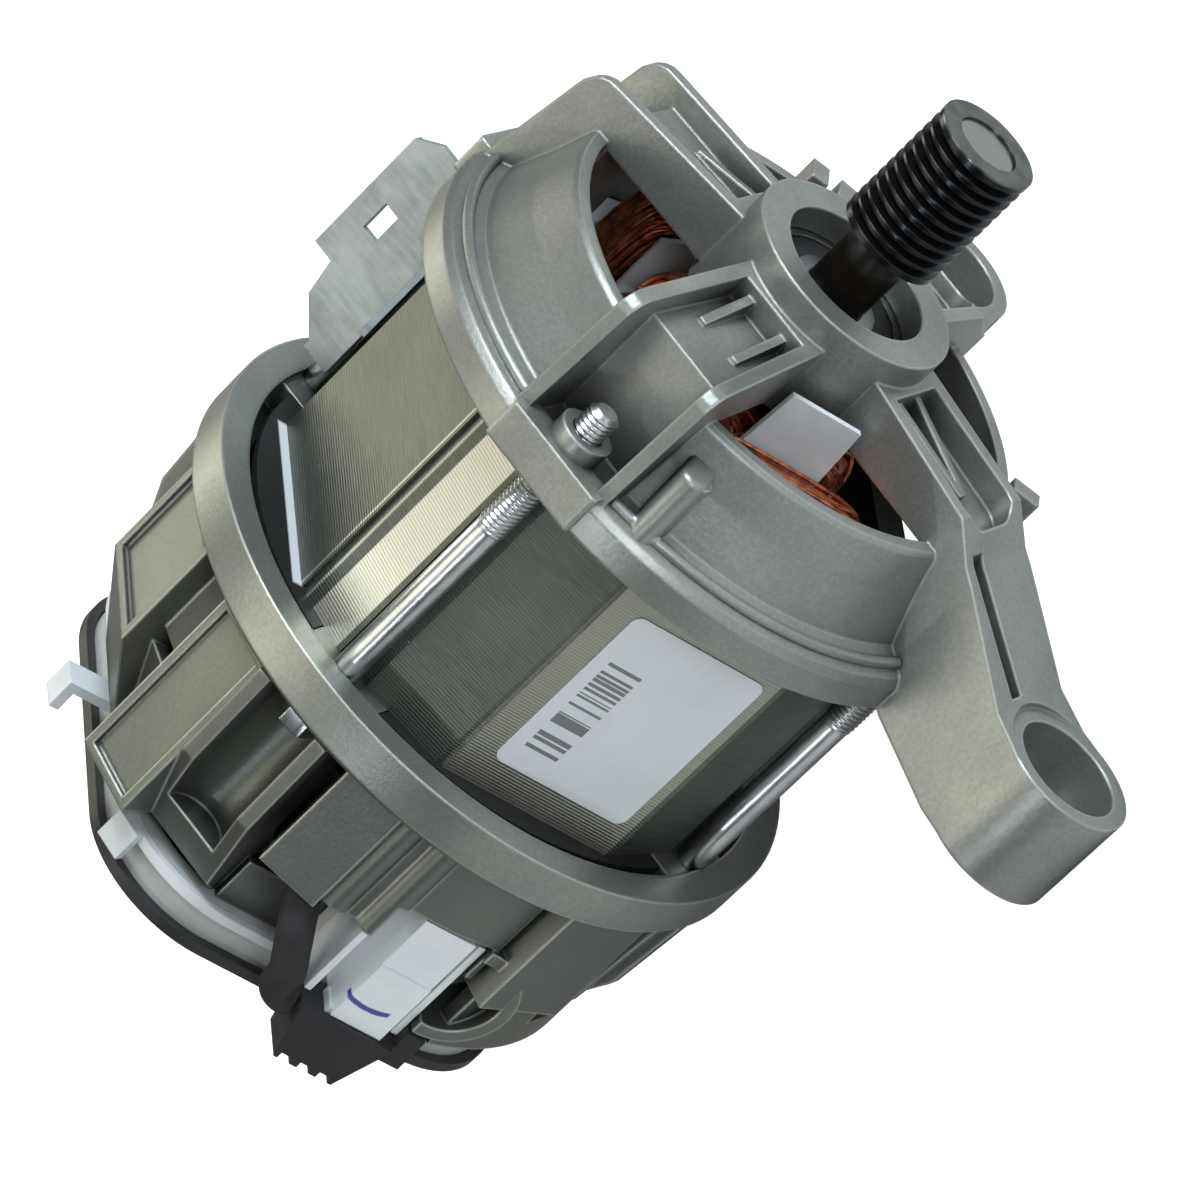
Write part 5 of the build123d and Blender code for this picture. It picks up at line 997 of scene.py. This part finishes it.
@dataclass
class ArmatureEnd:
    """Wires laid over the round end of the armature winding."""

    name: str
    core_x: float
    direction: float
    length: float
    seed: int
    radius: float = 24.2 * MM
    round_off: float = 4.0 * MM
    inward_reach: float = 19.0 * MM
    cover_share: float = 0.985
    run_share: float = 1.45
    core_gap: float = 0.3 * MM
    wire: float = 0.42 * MM
    wire_sides: int = 6
    samples: int = 26
    slots: int = 12
    per_slot: int = 9
    strand_turn: float = 1.368
    sweep: float = 74.0
    sweep_power: float = 1.15
    shake: float = 0.03
    lift_range: Span = (-0.12, 0.18)

    def build(self, wardrobe: Wardrobe) -> None:
        """Lay the wires.

        Each wire runs from a slot along the outside of the bundle and over its edge towards
        the shaft: x = x0 + d L u, r = R - e (1 - sqrt(1 - q^2)) - inward, phi = a0 + sweep u^p,
        where q grows from 0 to 1 over the rounded edge of radius e.

        Args:
            wardrobe: Finishes of the motor.
        """
        rng = np.random.default_rng(self.seed)
        share = np.linspace(0.0, 1.0, self.samples)
        reach = self.length * self.cover_share
        along = np.minimum(share * self.run_share, 1.0) * reach
        over = np.clip((along - (reach - self.round_off)) / self.round_off, 0.0, 1.0)
        inward = np.clip(share * self.run_share - 1.0, 0.0, 1.0) * self.inward_reach
        drop = (1.0 - np.sqrt(np.clip(1.0 - over ** 2, 0.0, 1.0))) * self.round_off + inward
        x = self.core_x + self.direction * (along + self.core_gap)
        wires = []
        for index in range(self.slots):
            for strand in range(self.per_slot):
                side = 1.0 if (index + strand) % 2 else -1.0
                spread = (strand - self.per_slot / 2.0) * self.strand_turn
                base = math.radians(index * 360.0 / self.slots + spread)
                turn = math.radians(self.sweep) * side * share ** self.sweep_power
                angle = base + turn + rng.uniform(-self.shake, self.shake)
                lift = rng.uniform(*self.lift_range) * MM
                path = round_shaft(x, self.radius - drop + lift, angle)
                wires.append(tube_along(path, self.wire, self.wire_sides, False))
        thing = add_mesh(self.name, joined(wires), wardrobe.by_slot["copper_wire"])
        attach(thing, "rotor")
        LOG.info("laid %s", self.name)


@dataclass
class ThroughBolts:
    """Four through bolts with rolled threads at their front ends and flanged hexagon heads."""

    corners: tuple[float, ...] = (45.0, -45.0, 135.0, -135.0)
    circle: float = 54.67 * MM
    shank: float = 2.7 * MM
    crest: float = 3.0 * MM
    root: float = 2.5 * MM
    pitch: float = 1.0 * MM
    steps: int = 6
    tip: float = -0.6 * MM
    tip_taper: float = 0.5 * MM
    tip_share: float = 0.8
    thread_start: float = -32.0 * MM
    thread_stop: float = -1.2 * MM
    run_out: float = 0.3 * MM
    washer_front: float = -80.1 * MM
    washer: float = 5.2 * MM
    washer_thick: float = 1.0 * MM
    head_flat: float = 4.0 * MM
    head_length: float = 4.0 * MM
    chamfer: float = 0.4 * MM
    chamfer_limit: float = 1.06
    chamfer_share: float = 0.96
    sides: int = 36
    sharp_from: float = 32.0

    def outline(self) -> tuple[np.ndarray, np.ndarray]:
        """Rings of one bolt from its head to its tip.

        Returns:
            Stations, and radii. The thread is r = root + (crest - root) t, with t a triangle
            wave of x / pitch + a / 2 pi. The head is r = f / cos(a mod 60 - 30).
        """
        angle = full_turn(self.sides)
        whole = np.ones_like(angle)
        back = self.washer_front - self.washer_thick
        end = back - self.head_length
        sector = math.pi / 3.0
        hexagon = self.head_flat / np.cos(np.mod(angle, sector) - sector / 2.0)
        bevelled = np.minimum(hexagon, self.head_flat * self.chamfer_limit) * self.chamfer_share
        head = [(end, whole * 0.0), (end, bevelled), (end + self.chamfer, hexagon),
                (back, hexagon), (back, whole * self.washer),
                (self.washer_front, whole * self.washer),
                (self.washer_front, whole * self.shank),
                (self.thread_start - self.run_out, whole * self.shank)]
        tail = [(self.tip - self.tip_taper, whole * self.root),
                (self.tip, whole * self.root * self.tip_share), (self.tip, whole * 0.0)]
        x = np.arange(self.thread_start, self.thread_stop, self.pitch / self.steps)
        phase = np.mod(x[:, None] / self.pitch + angle[None, :] / FULL_TURN, 1.0)
        wave = 1.0 - np.abs(2.0 * phase - 1.0)
        fade = np.clip((x[:, None] - self.thread_start) / self.pitch, 0.0, 1.0)
        thread = self.root + (self.crest - self.root) * wave
        thread = self.shank + (thread - self.shank) * fade
        stations = np.concatenate([[place for place, _ in head], x, [place for place, _ in tail]])
        radii = np.concatenate([[ring for _, ring in head], thread, [ring for _, ring in tail]])
        return stations, radii

    def bolt(self, corner: float) -> Shape:
        """One bolt, turned about a line along X at its place on the bolt circle.

        Args:
            corner: Angle phi of the bolt in degrees.

        Returns:
            Points and faces. Point (i, j) is (x_i, yc - r_ij cos a_j, zc + r_ij sin a_j).
        """
        stations, radii = self.outline()
        angle = full_turn(self.sides)
        centre = round_shaft(0.0, self.circle, math.radians(corner))
        points = np.stack([np.broadcast_to(stations[:, None], radii.shape),
                           centre[1] - radii * np.cos(angle),
                           centre[2] + radii * np.sin(angle)], -1)
        return points.reshape(-1, 3), grid_faces(*radii.shape)

    def build(self, wardrobe: Wardrobe) -> None:
        """Turn the four bolts as one piece in place of the plain ones.

        Args:
            wardrobe: Finishes of the motor.
        """
        thing = add_mesh("bolts_threaded", joined([self.bolt(c) for c in self.corners]),
                         wardrobe.by_slot["zinc_steel"])
        sharp_by_angle(thing, self.sharp_from)
        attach(thing, "motor")
        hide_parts("through_bolts")
        LOG.info("threaded the bolts")


@dataclass
class FrontTrim:
    """Cast details on the front shield.

    They are a land behind each upper bolt boss, a rounded bar along the drum on both sides,
    and a bead round the foot of the drum between the bosses.
    """

    land_angles: tuple[float, ...] = (45.0, 135.0)
    land_x: Span = (-17.4 * MM, -9.4 * MM)
    land_reach: Span = (55.4 * MM, 61.6 * MM)
    land_half: float = 11.0 * MM
    land_chamfer: float = 0.6 * MM
    bar_angles: tuple[float, ...] = (26.0, 206.0)
    bar_x: Span = (-17.4 * MM, 4.0 * MM)
    bar_reach: Span = (60.4 * MM, 58.3 * MM)
    bar_half: float = 2.8 * MM
    bar_round: float = 1.1 * MM
    bar_root: float = 47.0 * MM
    bar_rings: int = 8
    bar_bend: Span = (0.2, 0.5 * math.pi)
    bar_bend_rings: int = 6
    bar_back_points: int = 13
    bead_angles: tuple[float, ...] = (0.0, 90.0, 180.0, -90.0)
    bead_spread: float = 33.0
    bead_x: float = -9.3 * MM
    bead_radius: float = 57.6 * MM
    bead: float = 1.1 * MM
    bead_rings: int = 60
    bead_sides: int = 12
    sharp_from: float = 40.0

    @staticmethod
    def placed(shape: Shape, phi: float) -> Shape:
        """Carry a shape with points (x, reach, offset) to its angle about the shaft.

        Args:
            shape: Points and faces.
            phi: Angle in degrees.

        Returns:
            Points (x, y0 - r cos phi + t sin phi, z0 + r sin phi + t cos phi), and the faces.
        """
        points, faces = shape
        a = math.radians(phi)
        x, reach, offset = points[:, 0], points[:, 1], points[:, 2]
        return np.stack([x, AXIS_Y - reach * math.cos(a) + offset * math.sin(a),
                         AXIS_Z + reach * math.sin(a) + offset * math.cos(a)], -1), faces

    def land(self) -> Shape:
        """Flat-faced block at the edge of the flange, narrower at its outer side.

        Returns:
            Points (x, reach, offset) of its rear and front outlines, and faces.
        """
        low, high = self.land_reach
        half, cut = self.land_half, self.land_chamfer
        outline = [(low, -half), (high - cut, -half), (high, cut - half),
                   (high, half - cut), (high - cut, half), (low, half)]
        points = np.array([(x, r, t) for x in self.land_x for r, t in outline])
        caps = np.array([[0, 1, 2, 3], [0, 3, 4, 5], [6, 9, 8, 7], [6, 11, 10, 9]])
        return points, np.concatenate([grid_faces(2, len(outline)), caps])

    def bar(self) -> Shape:
        """Bar with a round back and a softened end.

        Returns:
            Points (x, reach, offset) and faces. On the back offset = s h cos a and
            reach = r(x) - h + s h sin a, with s = 1 but for the ends, and the foot is flat.
        """
        rear, front = self.bar_x
        bend = np.linspace(*self.bar_bend, self.bar_bend_rings)
        along = np.linspace(rear, front - self.bar_round, self.bar_rings)
        tip = front - self.bar_round * (1.0 - np.sin(bend))
        x = np.concatenate([[rear], along, tip, [front]])
        narrowed = 1.0 - self.bar_round / self.bar_half * (1.0 - np.cos(bend))
        size = np.concatenate([[0.0], np.ones(self.bar_rings), narrowed, [0.0]])[:, None]
        top = np.interp(x, self.bar_x, self.bar_reach)
        angle = np.linspace(0.0, math.pi, self.bar_back_points)
        offset = size * self.bar_half * np.cos(angle)
        reach = (top - self.bar_half)[:, None] + size * self.bar_half * np.sin(angle)
        foot = np.full((len(x), 1), self.bar_root)
        offset = np.concatenate([offset[:, :1], offset, offset[:, -1:]], 1)
        reach = np.concatenate([foot, reach, foot], 1)
        points = np.stack([np.broadcast_to(x[:, None], reach.shape), reach, offset], -1)
        return points.reshape(-1, 3), grid_faces(*reach.shape)

    def arc(self, phi: float) -> Shape:
        """Bead of round section along part of the circle about the shaft.

        Args:
            phi: Angle of its middle in degrees.

        Returns:
            Points and faces.
        """
        turn = np.radians(np.linspace(phi - self.bead_spread, phi + self.bead_spread,
                                      self.bead_rings))
        path = round_shaft(np.full_like(turn, self.bead_x), self.bead_radius, turn)
        return tube_along(path, self.bead, self.bead_sides, False)

    def build(self, wardrobe: Wardrobe) -> None:
        """Make all of them as one piece.

        Args:
            wardrobe: Finishes of the motor.
        """
        lands = [self.placed(self.land(), phi) for phi in self.land_angles]
        bars = [self.placed(self.bar(), phi) for phi in self.bar_angles]
        beads = [self.arc(phi) for phi in self.bead_angles]
        thing = add_mesh("front_shield_trim", joined(lands + bars + beads),
                         wardrobe.by_slot["cast_aluminium"])
        sharp_by_angle(thing, self.sharp_from)
        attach(thing, "motor")
        LOG.info("trimmed the front shield")


@dataclass(frozen=True)
class Lamp:
    """Square soft lamp that looks at the middle of the motor."""

    name: str
    place: Triple
    size: float
    power: float
    colour: Colour
    target: Triple = (-40.0 * MM, AXIS_Y, AXIS_Z)

    def build(self) -> None:
        """Hang the lamp."""
        light = bpy.data.lights.new(self.name, "AREA")
        light.color = self.colour
        light.energy = self.power
        light.size = self.size
        thing = bpy.data.objects.new(self.name, light)
        thing.location = self.place
        aim = Vector(self.target) - Vector(self.place)
        thing.rotation_euler = aim.to_track_quat("-Z", "Y").to_euler()
        bpy.context.scene.collection.objects.link(thing)


COOL = (0.83, 0.92, 1.0)
WARM = (1.0, 0.97, 0.82)


@dataclass
class Stage:
    """Floor, lamps and world."""

    floor_z: float
    floor_half: float = 6.0
    lamps: tuple[Lamp, ...] = (Lamp("key", (0.95, 0.05, 0.85), 0.60, 16.5, COOL),
                               Lamp("strip", (-0.60, -0.22, 1.09), 0.60, 2.2, WARM),
                               Lamp("front", (0.75, -1.05, 0.45), 0.40, 4.5, COOL),
                               Lamp("back", (-0.5, 0.9, 0.7), 0.5, 2.5, WARM),
                               Lamp("glint", (-0.54, -0.95, 0.66), 0.04, 1.2, COOL))
    sky_range: Span = (0.05, 0.95)
    sky_low: Colour = (0.08, 0.085, 0.09)
    sky_high: Colour = (0.98, 0.98, 0.94)
    sky_strength: float = 0.38

    def build(self) -> None:
        """Add the floor, the lamps and the sky."""
        half = self.floor_half
        corners = np.array([[x, y, self.floor_z] for x, y in
                            ((-half, -half), (half, -half), (half, half), (-half, half))])
        floor = add_mesh("floor", (corners, np.array([[0, 1, 2, 3]])),
                         Backdrop().material("finish_floor"))
        for lamp in self.lamps:
            lamp.build()
        bpy.context.scene.world = self.sky()
        LOG.info("set the stage")

    def sky(self) -> bpy.types.World:
        """Grey world, pale overhead and dark near the floor.

        Returns:
            The world, whose colour follows the height of the direction.
        """
        world = bpy.data.worlds.new("sky")
        g = Graph(world, "BACKGROUND", "Generated")
        height = g.axis("Z").ramp(*self.sky_range, kind="LINEAR")
        g.set(Color=g.mix(height, self.sky_low, self.sky_high), Strength=self.sky_strength)
        return world


@dataclass(frozen=True)
class Shot:
    """Camera of the photo, found by fitting circles and edges."""

    place: Triple = (0.59737, -1.04713, 0.71027)
    right: Triple = (0.63521, -0.08943, -0.76715)
    up: Triple = (0.61492, 0.65955, 0.43228)
    back: Triple = (0.46731, -0.74632, 0.47394)
    lens: float = 238.4
    sensor: float = 36.0
    clip_start: float = 0.05

    def build(self) -> None:
        """Add the camera and make it the scene's."""
        data = bpy.data.cameras.new("camera")
        data.lens = self.lens
        data.sensor_width = self.sensor
        data.clip_start = self.clip_start
        thing = bpy.data.objects.new("camera", data)
        turn = Matrix((self.right, self.up, self.back)).transposed()
        thing.matrix_world = Matrix.Translation(self.place) @ turn.to_4x4()
        bpy.context.scene.collection.objects.link(thing)
        bpy.context.scene.camera = thing
        LOG.info("placed the camera")


FLOOR_GAP = 0.3 * MM


def main() -> None:
    """Build the pieces in order, then the stage and the camera."""
    logging.basicConfig(level=logging.INFO, format="%(message)s")
    bpy.context.scene.view_settings.view_transform = "Standard"
    wardrobe = Wardrobe()
    wardrobe.dress_solids()
    FieldCoil("field_coil_near", side=-1.0, seed=11).build(wardrobe)
    FieldCoil("field_coil_far", side=1.0, seed=12).build(wardrobe)
    ArmatureEnd("armature_wires_front", core_x=-17.0 * MM, direction=1.0,
                length=15.0 * MM, seed=13).build(wardrobe)
    ArmatureEnd("armature_wires_rear", core_x=-70.0 * MM, direction=-1.0,
                length=12.0 * MM, seed=14).build(wardrobe)
    ThroughBolts().build(wardrobe)
    FrontTrim().build(wardrobe)
    Stage(cad_box[0][2] - FLOOR_GAP).build()
    Shot().build()


if __name__ == "__main__":
    main()
